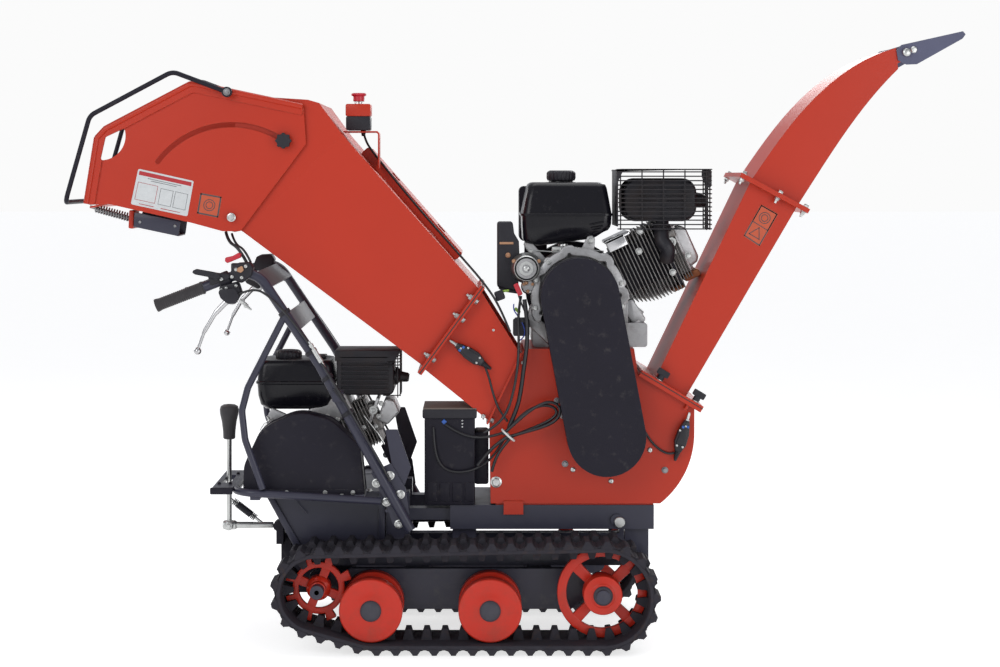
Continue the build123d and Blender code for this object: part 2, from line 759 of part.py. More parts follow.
inlet_middle = inlet_low + inlet_run * 140
mouth_middle = Vector(-472, 1161)
duct_axis = (mouth_middle - inlet_middle).normalized()
mouth_low = mouth_middle - mouth_run * 174.6 - duct_axis * 2
mouth_high = mouth_middle + mouth_run * 174.6 - duct_axis * 2
hood_outline = [tuple(mouth_low)[:2], tuple(mouth_high)[:2], (-347, 1283), (-404, 1361), (-432, 1369), (-604, 1380),
                (-648, 1079), (-640, 1056), (-610, 1047)]
hood_inside = [(-720, 1010), (-598, 1010), (-596, 1041), (-349.2, 1280.9), (-406, 1357), (-433, 1366),
               (-604, 1377), (-720, 1380)]
knob_at = polar(pivot_at, slot_r, slot_from)

with BuildPart() as infeed_chute:
    add(duct(inlet_middle, inlet_run, (240, 2 * chute_half_low), mouth_middle, mouth_run,
             (349.3, 2 * chute_half_high)))
    add(panel(hood_outline, -chute_half_high, chute_half_high))
    add(panel(hood_inside, -chute_half_high + sheet, chute_half_high - sheet), mode=Mode.SUBTRACT)
    add(duct(inlet_middle - duct_axis * 5, inlet_run, (234, 2 * chute_half_low - 6),
             mouth_middle + duct_axis * 5, mouth_run, (343.3, 2 * chute_half_high - 6)), mode=Mode.SUBTRACT)
    add(panel(strip(inlet_low, inlet_run, inlet_in, 0, inlet_length, -6, 0), -190, 190))
    add(panel(strip(inlet_low, inlet_run, inlet_in, 20, inlet_length - 20, -16, 6), -160, 160),
        mode=Mode.SUBTRACT)
    add(disc(knob_at, 6.5, -chute_half_high - 4, chute_half_high + 4), mode=Mode.SUBTRACT)
infeed_chute.part.label = "infeed_chute"
export_step(infeed_chute.part, "parts/infeed_chute.step")

cover_start = Vector(-347, 1283)
cover_run = Vector(348, -395).normalized()
cover_up = Vector(395, 348).normalized()
with BuildPart() as chute_cover:
    add(panel(strip(cover_start, cover_run, cover_up, 62, 430, 0.3, 24), -80, 132, 5))
    add(panel(strip(cover_start, cover_run, cover_up, 66, 426, -6, 20), -76, 128), mode=Mode.SUBTRACT)
    for slot_run in (150, 330):
        add(panel(strip(cover_start, cover_run, cover_up, slot_run, slot_run + 28, 10, 40), -30, 80),
            mode=Mode.SUBTRACT)
chute_cover.part.label = "chute_cover"
export_step(chute_cover.part, "parts/chute_cover.step")

hopper_outline = [(-987, 1105), (-960, 1273), (-938, 1297), (-725, 1409), (-708, 1408), (-442, 1352), (-436, 1258),
                  (-600, 1039), (-645, 1039), (-722, 1060), (-929, 1107)]
hopper_round = 9.0
floor_outline = [(-978, 1097), (-930, 1108), (-722, 1061), (-614, 1037), (-614, 1040.5), (-722, 1064.5),
                 (-930, 1111.5), (-978, 1101)]
rim_points = [(-987, 1107), (-960, 1273), (-938, 1297), (-725, 1409), (-708, 1408), (-442, 1352)]
fold_slot = SlotArc(CenterArc(pivot_at, slot_r, slot_from, slot_sweep), height=slot_width)
rim_inner = [(-446, 1330), (-712, 1386), (-721, 1386), (-926, 1278), (-939, 1264), (-965, 1107)]

with BuildPart() as near_side:
    add(panel(hopper_outline, -hopper_half, -hopper_half + sheet, hopper_round))
    add(panel(rim_points + rim_inner, -hopper_half - 5, -hopper_half, 5))
    add(extrude(side(-hopper_half) * fold_slot, amount=8, both=True), mode=Mode.SUBTRACT)
    with BuildSketch(side(-hopper_half)) as grip_hole:
        with BuildLine():
            Polyline((-951, 1217), (-938, 1275), (-891, 1297))
            ThreePointArc((-891, 1297), (-900, 1242), (-951, 1217))
        make_face()
        fillet(grip_hole.vertices(), 5)
    extrude(amount=8, both=True, mode=Mode.SUBTRACT)
    add(disc(pivot_at, 7, -hopper_half - 4, -hopper_half + 8), mode=Mode.SUBTRACT)
with BuildPart() as hopper:
    add(both_sides(near_side.part))
    add(panel(floor_outline, -hopper_half + sheet, hopper_half - sheet))
hopper.part.label = "hopper"
export_step(hopper.part, "parts/hopper.step")

bar_end = (-631.0, 1387.0)
with BuildPart() as stop_bar:
    add(rod([spot(-631, -250, 1387), spot(-767, -250, 1438), spot(-973, -250, 1328), spot(-1034, -250, 1112),
             spot(-1034, 250, 1112), spot(-973, 250, 1328), spot(-767, 250, 1438), spot(-631, 250, 1387)], 6,
            [34, 34, 22, 22, 34, 34]))
    add(both_sides(disc(bar_end, 13, -256, -244)))
    add(disc(bar_end, 6, -262, 262), mode=Mode.SUBTRACT)
stop_bar.part.label = "stop_bar"
export_step(stop_bar.part, "parts/stop_bar.step")

with BuildPart() as trip_linkage:
    add(panel([(-868, 1087), (-738, 1060), (-743, 1025), (-870, 1052)], -212, -100))
    add(panel([(-862, 1090), (-744, 1065), (-748, 1029), (-866, 1055)], -209, -90), mode=Mode.SUBTRACT)
    add(panel([(-880, 1089), (-866, 1086), (-868, 1051), (-884, 1054)], -190, -120))
    add(rod([spot(-972, -155, 1088), spot(-878, -155, 1068.3)], 8.5))
    add(both_sides(disc(bar_end, 5.5, -262, -230)))
    add(both_sides(disc(bar_end, 9, -262, -258)))
trip_linkage.part.label = "trip_linkage"
export_step(trip_linkage.part, "parts/trip_linkage.step")


knob_stand = 6.0                 # the knob's collar keeps its head this far off the hopper


def star_knob(lobes=8):
    # lobed head of a clamp knob, on the near side
    with BuildPart() as knob:
        with BuildSketch(side(-hopper_half - knob_stand - 0.2)):
            with Locations(knob_at):
                Circle(17)
                with PolarLocations(16, lobes):
                    Circle(4.2)
        extrude(amount=15)
    return knob.part


with BuildPart() as hopper_knob_near:
    add(star_knob())
hopper_knob_near.part.label = "hopper_knob_near"
export_step(hopper_knob_near.part, "parts/hopper_knob_near.step")
with BuildPart() as hopper_knob_far:
    add(star_knob())
    mirror(about=Plane.XZ, mode=Mode.REPLACE)
hopper_knob_far.part.label = "hopper_knob_far"
export_step(hopper_knob_far.part, "parts/hopper_knob_far.step")

with BuildPart() as estop_box:
    add(block(-342, -278, -150, -82, 1294, 1361, 4))
    add(panel([(-348, 1288), (-262, 1288), (-262, 1196), (-266, 1196), (-266, 1284), (-330, 1284)], -140, -92))
    add(block(-348, -272, -140, -92, 1288, 1294))
    add(panel([(-308, 1240), (-262, 1188), (-262, 1220)], -140, -92))
    with BuildSketch(Plane(origin=spot(-310, -116, 1352))):
        Circle(12.5)
    extrude(amount=12, mode=Mode.SUBTRACT)
estop_box.part.label = "estop_box"
export_step(estop_box.part, "parts/estop_box.step")

with BuildPart() as estop_button:
    with BuildSketch(Plane(origin=spot(-310, -116, 1358))):
        Circle(11)
    extrude(amount=16)
    with BuildSketch(Plane(origin=spot(-310, -116, 1373))):
        Circle(20)
    extrude(amount=13)
    fillet(estop_button.edges().group_by(Axis.Z)[-1], 5)
estop_button.part.label = "estop_button"
export_step(estop_button.part, "parts/estop_button.step")

# ---- Discharge ----

elbow_corner = Vector(660, 1181)
elbow_run = Vector(173, -93).normalized()
elbow_up = Vector(93, 173).normalized()
elbow_length = 196.4
duct_low = outlet_corner + outlet_run * 88.9 + outlet_up * 1.2
duct_high = elbow_corner + elbow_run * 101.2
duct_rise = (duct_high - duct_low).normalized()

with BuildPart() as discharge_chute:
    add(duct(duct_low, outlet_run, (89.8, 2 * discharge_half), duct_high, elbow_run, (134.8, 2 * discharge_half)))
    add(panel(strip(outlet_corner, outlet_run, outlet_up, 0, outlet_length, 1.2, 7), -172, 172))
    add(panel(strip(elbow_corner, elbow_run, elbow_up, 0, elbow_length, -6, 0), -172, 172))
    add(duct(duct_low - duct_rise * 6, outlet_run, (83.8, 2 * discharge_half - 6), duct_high + duct_rise * 8,
             elbow_run, (128.8, 2 * discharge_half - 6)), mode=Mode.SUBTRACT)
    for stud_run in knob_runs:
        add(outlet_stud(stud_run, -20, 30, 6.5), mode=Mode.SUBTRACT)
    add(outlet_stud(key_run, -24, 4, 4))
discharge_chute.part.label = "discharge_chute"
export_step(discharge_chute.part, "parts/discharge_chute.step")

elbow_shift = (2.2, -3.2)        # moves the elbow's side view down to leave its back wall


with BuildSketch() as elbow_face:
    with BuildLine():
        Spline((690, 1165.5), (760, 1266), (873, 1396), (983, 1474), (1060, 1504))
        Line((1060, 1504), (1065, 1450))
        Spline((1065, 1450), (960, 1329), (878, 1210), (808.5, 1101.5))
        Line((808.5, 1101.5), (690, 1165.5))
    make_face()
elbow_hollow = Location((*elbow_shift, 0)) * elbow_face.sketch

deflector_at = (1085.0, 1492.0)
with BuildPart() as elbow:
    add(extrude(side(0) * elbow_face.sketch, amount=discharge_half, both=True))
    add(panel(strip(elbow_corner, elbow_run, elbow_up, 0, elbow_length, 0, 6), -172, 172))
    add(panel(strip(elbow_corner, elbow_run, elbow_up, 36, 166, -6, 7), -137, 137), mode=Mode.SUBTRACT)
    add(extrude(side(0) * elbow_hollow, amount=discharge_half - sheet, both=True), mode=Mode.SUBTRACT)
    add(both_sides(panel([(1050, 1495), (1100, 1510), (1104, 1478), (1055, 1462)], -discharge_half,
                         -discharge_half + sheet, 8)))
    add(both_sides(disc(deflector_at, 6, -148, -discharge_half)))
    add(both_sides(disc(deflector_at, 10, -151, -146)))
elbow.part.label = "elbow"
export_step(elbow.part, "parts/elbow.step")

cheek_outline = [(1060, 1497), (1072, 1511), (1229, 1546), (1236, 1538), (1228, 1527), (1112, 1462), (1085, 1461),
                 (1064, 1472)]
with BuildPart() as deflector:
    add(both_sides(panel(cheek_outline, -144.5, -141.5, 2)))
    add(panel([(1100, 1517.2), (1229, 1546), (1230, 1543), (1101, 1514.2)], -144, 144))
    add(disc(deflector_at, 6.6, -150, 150), mode=Mode.SUBTRACT)
deflector.part.label = "deflector"
export_step(deflector.part, "parts/deflector.step")


def clamp_knob(run):
    # T-headed clamp knob on its stud above the discharge flange
    head = strip(outlet_corner, outlet_run, outlet_up, run - 16, run + 16, 20, 36)
    with BuildPart() as knob:
        add(outlet_stud(run, 8, 22, 9))
        add(panel(head, stud_y - 7, stud_y + 7, 3))
    return knob.part


for knob_name, knob_run in zip(("chute_knob_left", "chute_knob_right"), knob_runs):
    with BuildPart() as chute_knob:
        add(clamp_knob(knob_run))
    chute_knob.part.label = knob_name
    export_step(chute_knob.part, f"parts/{knob_name}.step")

# ---- Electrics and fasteners ----

with BuildPart() as battery_box:
    add(block(-140, -14, -158, 0, deck_top, 556, 5))
    add(block(-144, -10, -162, 4, 556, 579, 5))
    add(block(-14, 24, -125, -25, 388, 525))
    add(block(92, 140, -168, -124, 770, 812, 3))
    add(block(116, 122, -150, -124, 738, 770))
battery_box.part.label = "battery_box"
export_step(battery_box.part, "parts/battery_box.step")


def tilted_block(middle, lean, length, width, y_from, y_to, corner):
    # a box whose length lies in the side view at the angle lean
    with BuildPart() as piece:
        with BuildSketch(side((y_from + y_to) / 2)):
            with Locations(Location(middle, lean)):
                RectangleRounded(length, width, corner)
        extrude(amount=(y_to - y_from) / 2, both=True)
    return piece.part


with BuildPart() as safety_switches:
    add(tilted_block((-27, 727), -36, 78, 27, -186, -160, 4))
    add(tilted_block((-65, 755), -36, 30, 10, -178, -168, 2))
    add(tilted_block((514, 520), 80.5, 70, 27, -176, -150, 4))
safety_switches.part.label = "safety_switches"
export_step(safety_switches.part, "parts/safety_switches.step")

cords = {
    "trunk": (5.5, [(112, -183, 866), (120, -185, 812), (119, -186, 752), (110, -187, 690), (104, -186, 640),
                    (94, -184, 590), (72, -184, 540)]),
    "starter_lead": (3.5, [(104, -156, 872), (96, -174, 830), (98, -192, 770), (96, -198, 704), (86, -198, 640),
                           (70, -197, 585), (42, -196, 548), (10, -190, 530)]),
    "upper_lead": (3.0, [(-300, -86, 1294), (-296, -86, 1268), (-270, -87, 1232), (-206, -96, 1152),
                         (-124, -112, 1056), (-48, -134, 972), (12, -156, 904), (50, -174, 848), (76, -184, 784)]),
    "throat_lead": (3.0, [(11, -173, 700), (22, -178, 672), (32, -178, 630), (48, -176, 584), (70, -172, 556)]),
    "loop": (4.0, [(70, -198, 534), (104, -199, 562), (138, -200, 586), (174, -200, 590), (192, -200, 612),
                   (176, -200, 636), (144, -200, 630), (112, -200, 598), (86, -199, 558)]),
    "outlet_lead": (3.0, [(508, -163, 484), (497, -157, 474), (472, -154, 472), (444, -153.6, 492),
                          (424, -153.6, 518), (412, -153.4, 542)]),
    "battery_lead": (3.5, [(69.5, -184, 533), (40, -182, 522), (-4, -176, 514), (-52, -170, 524), (-88, -164, 548)]),
    "battery_loop": (3.0, [(-118, -163, 540), (-116, -167, 480), (-96, -168, 436), (-52, -168, 424),
                           (0, -170, 438), (40, -174, 474), (62, -178, 514)]),
    "hopper_lead": (4.0, [(-640, -196, 1036), (-632, -216, 1012), (-602, -240, 998), (-582, -248, 962)]),
    "hopper_lead_thin": (3.0, [(-626, -190, 1032), (-616, -208, 1006), (-588, -236, 994), (-571, -256, 963)]),
}
clutch_route = [(-600, -291, 884), (-560, -293, 902), (-520, -290, 880), (-466, -286, 822), (-404, -283, 734),
                (-346, -296, 640), (-300, -288, 560), (-250, -283, 474), (-222, -272, 420)]
with BuildPart() as wiring:
    for cord_name, (cord_r, route) in cords.items():
        points = [spot(*place) for place in route]
        radii = cord_radii(points)
        print(cord_name, "radius", cord_r, "bends", [round(radius) for radius in radii])
        lead = rod(points, cord_r, radii)
        add(lead)
    clutch_points = [spot(*place) for place in clutch_route]
    add(both_sides(rod(clutch_points, 3.0, cord_radii(clutch_points))))
wiring.part.label = "wiring"
export_step(wiring.part, "parts/wiring.step")

with BuildPart() as fasteners:
    add(bolts([(43, 397)], -housing_half, 12, 8))
    add(bolts([(216, 445), (335, 399), (432, 481), (412, 604), (196, 570), (60, 600), (470, 430)], -housing_half))
    add(bolts([(-258, 413), (-224, 432), (-233, 366), (-198, 385), (-202, 311)], -257, 4.8, 5))
    add(both_sides(disc(pivot_at, 6, -hopper_half - 3, -chute_half_high)))
    add(both_sides(disc(pivot_at, 13, -hopper_half - 9, -hopper_half - 1)))
    add(both_sides(disc(knob_at, 10, -hopper_half - knob_stand, -hopper_half - 1)))
    add(both_sides(disc(knob_at, 5, -hopper_half - 2, -chute_half_high + 8)))
    for stud_run in knob_runs:
        add(outlet_stud(stud_run, -16, 7.2, 5))
fasteners.part.label = "fasteners"
export_step(fasteners.part, "parts/fasteners.step")
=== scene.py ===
from math import cos, pi, radians, sin

import bmesh
import bpy
import numpy as np
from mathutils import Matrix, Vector


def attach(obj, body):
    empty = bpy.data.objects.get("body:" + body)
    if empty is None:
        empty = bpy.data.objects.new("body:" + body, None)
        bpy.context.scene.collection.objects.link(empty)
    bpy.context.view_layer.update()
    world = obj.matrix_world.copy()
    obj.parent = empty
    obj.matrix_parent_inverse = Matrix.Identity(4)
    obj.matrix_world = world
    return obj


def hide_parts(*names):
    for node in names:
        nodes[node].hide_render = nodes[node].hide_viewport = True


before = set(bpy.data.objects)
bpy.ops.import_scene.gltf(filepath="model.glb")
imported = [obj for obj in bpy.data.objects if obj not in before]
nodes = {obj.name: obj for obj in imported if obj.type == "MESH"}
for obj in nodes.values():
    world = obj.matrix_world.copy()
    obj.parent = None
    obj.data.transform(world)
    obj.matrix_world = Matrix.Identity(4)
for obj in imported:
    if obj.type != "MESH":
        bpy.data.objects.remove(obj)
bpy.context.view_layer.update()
scene = bpy.context.scene
datumX = -98.0           # side views are in millimetres from this line, as on the drawing
print("frame loaded:", len(nodes), "nodes")

# Camera, lights and floor

view = {"at": (-0.098, -5.34, 1.18), "lens": 73.5, "shift": (0.02, -0.1585)}
cameraData = bpy.data.cameras.new("camera")
cameraData.lens = view["lens"]
cameraData.shift_x, cameraData.shift_y = view["shift"]
cameraData.clip_end = 200
camera = bpy.data.objects.new("camera", cameraData)
camera.location = view["at"]
camera.rotation_euler = (radians(90), 0, 0)
scene.collection.objects.link(camera)
scene.camera = camera
scene.view_settings.view_transform = "Standard"
scene.view_settings.look = "None"

softboxes = [
    ("keyLight", (-2.6, -3.8, 2.8), 2.6, 66),
    ("fillLight", (3.0, -3.8, 1.1), 2.4, 56),
    ("topLight", (0.2, 0.4, 4.2), 3.0, 62),
    ("backLight", (1.8, 3.8, 2.6), 2.4, 70),
    ("backLeft", (-3.4, 2.6, 2.0), 1.8, 40),
]
for lampName, at, size, power in softboxes:
    lampData = bpy.data.lights.new(lampName, "AREA")
    lampData.shape = "SQUARE"
    lampData.size = size
    lampData.energy = power
    lamp = bpy.data.objects.new(lampName, lampData)
    lamp.location = at
    aim = Vector((0, 0, 0.7)) - Vector(at)
    lamp.rotation_euler = aim.to_track_quat("-Z", "Y").to_euler()
    scene.collection.objects.link(lamp)

world = bpy.data.worlds.new("studio")
scene.world = world
world.use_nodes = True
sky = world.node_tree
sky.nodes.clear()
skyOut = sky.nodes.new("ShaderNodeOutputWorld")
seen = sky.nodes.new("ShaderNodeBackground")
seen.inputs["Color"].default_value = (0.965, 0.965, 0.965, 1)
lit = sky.nodes.new("ShaderNodeBackground")
lit.inputs["Color"].default_value = (0.93, 0.95, 1.0, 1)
lit.inputs["Strength"].default_value = 0.50
path = sky.nodes.new("ShaderNodeLightPath")
choose = sky.nodes.new("ShaderNodeMixShader")
sky.links.new(path.outputs["Is Camera Ray"], choose.inputs[0])
sky.links.new(lit.outputs[0], choose.inputs[1])
sky.links.new(seen.outputs[0], choose.inputs[2])
sky.links.new(choose.outputs[0], skyOut.inputs["Surface"])


# Material maths: a Term is a socket that takes part in Python expressions

class Term:
    def __init__(self, finish, socket):
        self.finish = finish
        self.socket = socket

    def calc(self, operation, first, second):
        return self.finish.node("ShaderNodeMath", {"operation": operation}, {0: first, 1: second})

    def __add__(self, other):
        return self.calc("ADD", self, other)

    def __radd__(self, other):
        return self.calc("ADD", other, self)

    def __sub__(self, other):
        return self.calc("SUBTRACT", self, other)

    def __rsub__(self, other):
        return self.calc("SUBTRACT", other, self)

    def __mul__(self, other):
        return self.calc("MULTIPLY", self, other)

    def __rmul__(self, other):
        return self.calc("MULTIPLY", other, self)

    def __truediv__(self, other):
        return self.calc("DIVIDE", self, other)

    def __pow__(self, other):
        return self.calc("POWER", self, other)

    def over(self, limit):
        return self.calc("GREATER_THAN", self, limit)

    def under(self, limit):
        return self.calc("LESS_THAN", self, limit)

    def most(self, other):
        return self.calc("MAXIMUM", self, other)

    def least(self, other):
        return self.calc("MINIMUM", self, other)

    def size(self):
        return self.calc("ABSOLUTE", self, 0.0)

    def wave(self):
        return self.calc("SINE", self, 0.0)

    def rise(self, low, high):
        # 0 below low, 1 above high, smooth between
        return self.finish.node("ShaderNodeMapRange", {"interpolation_type": "SMOOTHSTEP", "clamp": True},
                                {"Value": self, "From Min": low, "From Max": high})


class Finish:
    def __init__(self, name):
        self.material = bpy.data.materials.new(name)
        self.material.use_nodes = True
        self.tree = self.material.node_tree
        self.tree.nodes.clear()
        self.place = self.node("ShaderNodeTexCoord", out="Object")
        self.shader = self.tree.nodes.new("ShaderNodeBsdfPrincipled")
        outlet = self.tree.nodes.new("ShaderNodeOutputMaterial")
        self.tree.links.new(self.shader.outputs[0], outlet.inputs["Surface"])

    def node(self, kind, settings=None, sockets=None, out=0):
        made = self.tree.nodes.new(kind)
        for key, value in (settings or {}).items():
            setattr(made, key, value)
        for key, value in (sockets or {}).items():
            self.feed(made, key, value)
        return Term(self, made.outputs[out])

    def feed(self, made, key, value):
        if isinstance(value, Term):
            self.tree.links.new(value.socket, made.inputs[key])
        elif isinstance(value, tuple) and len(value) == 3 and made.inputs[key].type == "RGBA":
            made.inputs[key].default_value = (*value, 1)
        else:
            made.inputs[key].default_value = value

    def noise(self, scale, detail=3.0, rough=0.5, stretch=None):
        where = self.place
        if stretch:
            where = self.node("ShaderNodeMapping", {}, {"Vector": self.place, "Scale": stretch})
        return self.node("ShaderNodeTexNoise", {}, {"Vector": where, "Scale": scale, "Detail": detail,
                                                    "Roughness": rough})

    def cells(self, scale):
        # distance to the nearest of scattered points
        return self.node("ShaderNodeTexVoronoi", {"feature": "F1"}, {"Vector": self.place, "Scale": scale}, "Distance")

    def axis(self, letter):
        return self.node("ShaderNodeSeparateXYZ", {}, {0: self.place}, letter)

    def mix(self, first, second, amount):
        return self.node("ShaderNodeMix", {"data_type": "RGBA"}, {0: amount, 6: first, 7: second}, 2)

    def ramp(self, value, *stops):
        return self.node("ShaderNodeValToRGB", {"stops": stops}, {0: value})

    def bump(self, height, strength=0.3, distance=0.001, under=None):
        sockets = {"Height": height, "Strength": strength, "Distance": distance}
        if under:
            sockets["Normal"] = under
        return self.node("ShaderNodeBump", {}, sockets)

    def edges(self, radius):
        # rounded normal, and how far it turns from the true one: 0 on flats, up to 1 on corners
        soft = self.node("ShaderNodeBevel", {"samples": 4}, {"Radius": radius})
        true = self.node("ShaderNodeNewGeometry", {}, {}, "True Normal")
        alike = self.node("ShaderNodeVectorMath", {"operation": "DOT_PRODUCT"}, {0: soft, 1: true}, "Value")
        return soft, (1.0 - alike).rise(0.02, 0.22)

    def up(self):
        # 1 where the surface faces the sky
        normal = self.node("ShaderNodeNewGeometry", {}, {}, "Normal")
        return self.node("ShaderNodeSeparateXYZ", {}, {0: normal}, "Z")

    def set(self, **sockets):
        names = {"colour": "Base Color", "rough": "Roughness", "metal": "Metallic", "normal": "Normal",
                 "coat": "Coat Weight", "coatRough": "Coat Roughness", "glow": "Emission Color", "alpha": "Alpha",
                 "glowPower": "Emission Strength", "specular": "Specular IOR Level", "sheen": "Sheen Weight"}
        for key, value in sockets.items():
            self.feed(self.shader, names[key], value)
        return self.material


# Finishes

def orangePaint(name="orangePaint", dirt=0.0, base=(0.405, 0.0215, 0.0045)):
    # powder coat: faint cloudiness, orange peel, a paler worn line on sharp edges, dust where dirt is over 0
    f = Finish(name)
    soft, corner = f.edges(0.0016)
    clouds = f.noise(3.2, 4)
    colour = f.mix(tuple(c * 0.90 for c in base), tuple(c * 1.10 for c in base), clouds)
    wear = corner * f.noise(90, 5, 0.7).rise(0.44, 0.60) * 0.55
    colour = f.mix(colour, (0.62, 0.16, 0.085), wear)
    specks = f.noise(620, 2).rise(0.70, 0.76) * 0.30
    colour = f.mix(colour, (0.30, 0.035, 0.02), specks)
    if dirt:
        low = 1.0 - f.axis("Z").rise(0.02, 0.34)
        dust = (f.noise(26, 6, 0.7).rise(0.42, 0.72) * low + corner * 0.5 * f.noise(60, 4).rise(0.4, 0.6)) * dirt
        colour = f.mix(colour, (0.105, 0.045, 0.028), dust)
        rough = 0.36 + dust * 0.4
    else:
        rough = 0.33 + clouds * 0.10
    peel = f.noise(420, 2) * 0.6 + f.noise(38, 2) * 0.4
    return f.set(colour=colour, rough=rough, specular=0.32, coat=0.06, coatRough=0.2,
                 normal=f.bump(peel, 0.10, 0.0006, soft))


def framePaint(name="framePaint", base=(0.022, 0.022, 0.037)):
    # dark blue-grey coat with dust on the faces that look up and chips on the corners
    f = Finish(name)
    soft, corner = f.edges(0.0014)
    dust = f.up().rise(0.7, 0.98) * f.noise(16, 6, 0.65).rise(0.42, 0.74) * 0.22
    low = (1.0 - f.axis("Z").rise(0.08, 0.26)) * f.noise(30, 5, 0.7).rise(0.45, 0.75) * 0.55
    colour = f.mix(base, tuple(c * 1.5 for c in base), f.noise(7, 4))
    colour = f.mix(colour, (0.11, 0.095, 0.085), dust.most(low) * 0.55)
    colour = f.mix(colour, (0.13, 0.13, 0.15), corner * f.noise(120, 4).rise(0.46, 0.6) * 0.6)
    peel = f.noise(380, 2) * 0.7 + f.noise(30, 2) * 0.3
    return f.set(colour=colour, rough=0.34 + dust * 0.35 + f.noise(22, 3) * 0.08, specular=0.35, coat=0.06,
                 normal=f.bump(peel, 0.12, 0.0006, soft))


def blackCoat(name="blackCoat", base=(0.0070, 0.0062, 0.0115), grain=900, depth=0.35, rough=0.46):
    # textured black coat: fine blisters that catch the light, dust in patches
    f = Finish(name)
    soft, corner = f.edges(0.0013)
    blisters = f.cells(grain).rise(0.1, 0.55)
    colour = f.mix(base, tuple(c * 1.6 for c in base), f.noise(9, 5, 0.6))
    colour = f.mix(colour, (0.075, 0.068, 0.065), f.noise(34, 6, 0.7).rise(0.54, 0.78) * 0.35)
    colour = f.mix(colour, (0.16, 0.155, 0.16), corner * f.noise(140, 4).rise(0.48, 0.6) * 0.5)
    return f.set(colour=colour, rough=rough + f.noise(14, 4) * 0.14, specular=0.20,
                 normal=f.bump(blisters * 0.5 + f.noise(grain * 0.6, 2) * 0.5, depth, 0.0005, soft))


def glossBlack(name="glossBlack", base=(0.0045, 0.0042, 0.0070)):
    # pressed steel tank in gloss black: long soft dents, fine peel and a little dust
    f = Finish(name)
    soft, corner = f.edges(0.002)
    dust = f.noise(48, 6, 0.72).rise(0.56, 0.8) * 0.25 + f.up().rise(0.7, 1.0) * f.noise(12, 4).rise(0.3, 0.7) * 0.25
    colour = f.mix(base, (0.075, 0.068, 0.066), dust)
    peel = f.noise(300, 2) * 0.35 + f.noise(9, 2) * 0.65
    return f.set(colour=colour, rough=0.24 + dust * 0.5, specular=0.24, coat=0.08, coatRough=0.12,
                 normal=f.bump(peel, 0.16, 0.0012, soft))


def trackRubber(name="trackRubber"):
    # moulded rubber with dried earth in its low places and scuffed lug tips
    f = Finish(name)
    soft, corner = f.edges(0.0018)
    earth = f.noise(14, 6, 0.72).rise(0.42, 0.72)
    crust = f.noise(70, 5, 0.7).rise(0.46, 0.7)
    colour = f.mix((0.0150, 0.0140, 0.0200), (0.030, 0.0275, 0.036), f.noise(40, 5))
    colour = f.mix(colour, (0.052, 0.033, 0.025), earth * crust * 0.8)
    colour = f.mix(colour, (0.055, 0.050, 0.050), corner * f.noise(110, 4).rise(0.4, 0.62) * 0.6)
    height = f.noise(160, 4, 0.65) * 0.5 + f.noise(38, 4) * 0.5
    return f.set(colour=colour, rough=0.74 + earth * 0.14, specular=0.25, normal=f.bump(height, 0.45, 0.0014, soft))


def mouldedPlastic(name="mouldedPlastic", base=(0.0080, 0.0075, 0.0115), rough=0.44, grain=1500):
    # spark-eroded grain, rubbed smoother on its corners
    f = Finish(name)
    soft, corner = f.edges(0.0012)
    colour = f.mix(base, tuple(c * 1.7 for c in base), f.noise(60, 5, 0.65))
    colour = f.mix(colour, (0.085, 0.08, 0.08), f.noise(180, 4, 0.7).rise(0.6, 0.8) * 0.25)
    return f.set(colour=colour, rough=rough + f.noise(30, 3) * 0.12 - corner * 0.08, specular=0.35,
                 normal=f.bump(f.noise(grain, 3), 0.25, 0.0004, soft))


def gripRubber(name="gripRubber"):
    # soft rubber, matt, with a greyish bloom
    f = Finish(name)
    soft, corner = f.edges(0.0008)
    colour = f.mix((0.010, 0.0085, 0.011), (0.024, 0.021, 0.024), f.noise(70, 5, 0.7))
    return f.set(colour=colour, rough=0.62 + f.noise(40, 3) * 0.14, sheen=0.25,
                 normal=f.bump(f.noise(900, 3), 0.3, 0.0004, soft))


def castAlloy(name="castAlloy", base=(0.42, 0.42, 0.43), grime=0.5):
    # sand-cast aluminium: coarse skin, oily grime in hollows and brighter rubbed corners
    f = Finish(name)
    soft, corner = f.edges(0.0018)
    soil = f.noise(20, 6, 0.7).rise(0.40, 0.74) * grime
    colour = f.mix(tuple(c * 0.72 for c in base), base, f.noise(50, 5, 0.7))
    colour = f.mix(colour, (0.085, 0.065, 0.05), soil)
    colour = f.mix(colour, (0.68, 0.68, 0.69), corner * 0.5)
    skin = f.noise(520, 4, 0.7) * 0.6 + f.noise(120, 3) * 0.4
    return f.set(colour=colour, metal=0.85 - soil * 0.6, rough=0.40 + soil * 0.35 + f.noise(90, 3) * 0.12,
                 normal=f.bump(skin, 0.4, 0.0007, soft))


def plate(name, base, rough=0.28, grime=0.25, metal=1.0, scratch=700):
    # plated or polished metal: fine drawn lines, cloudy roughness and dark grime in places
    f = Finish(name)
    soft, corner = f.edges(0.0008)
    soil = f.noise(55, 6, 0.7).rise(0.50, 0.78) * grime
    colour = f.mix(base, tuple(c * 0.72 for c in base), f.noise(26, 4))
    colour = f.mix(colour, (0.07, 0.055, 0.045), soil)
    lines = f.noise(scratch, 2, 0.5, (1, 12, 1))
    return f.set(colour=colour, metal=metal - soil * 0.5, rough=rough + soil * 0.3 + f.noise(80, 3) * 0.14,
                 normal=f.bump(lines, 0.08, 0.0003, soft))


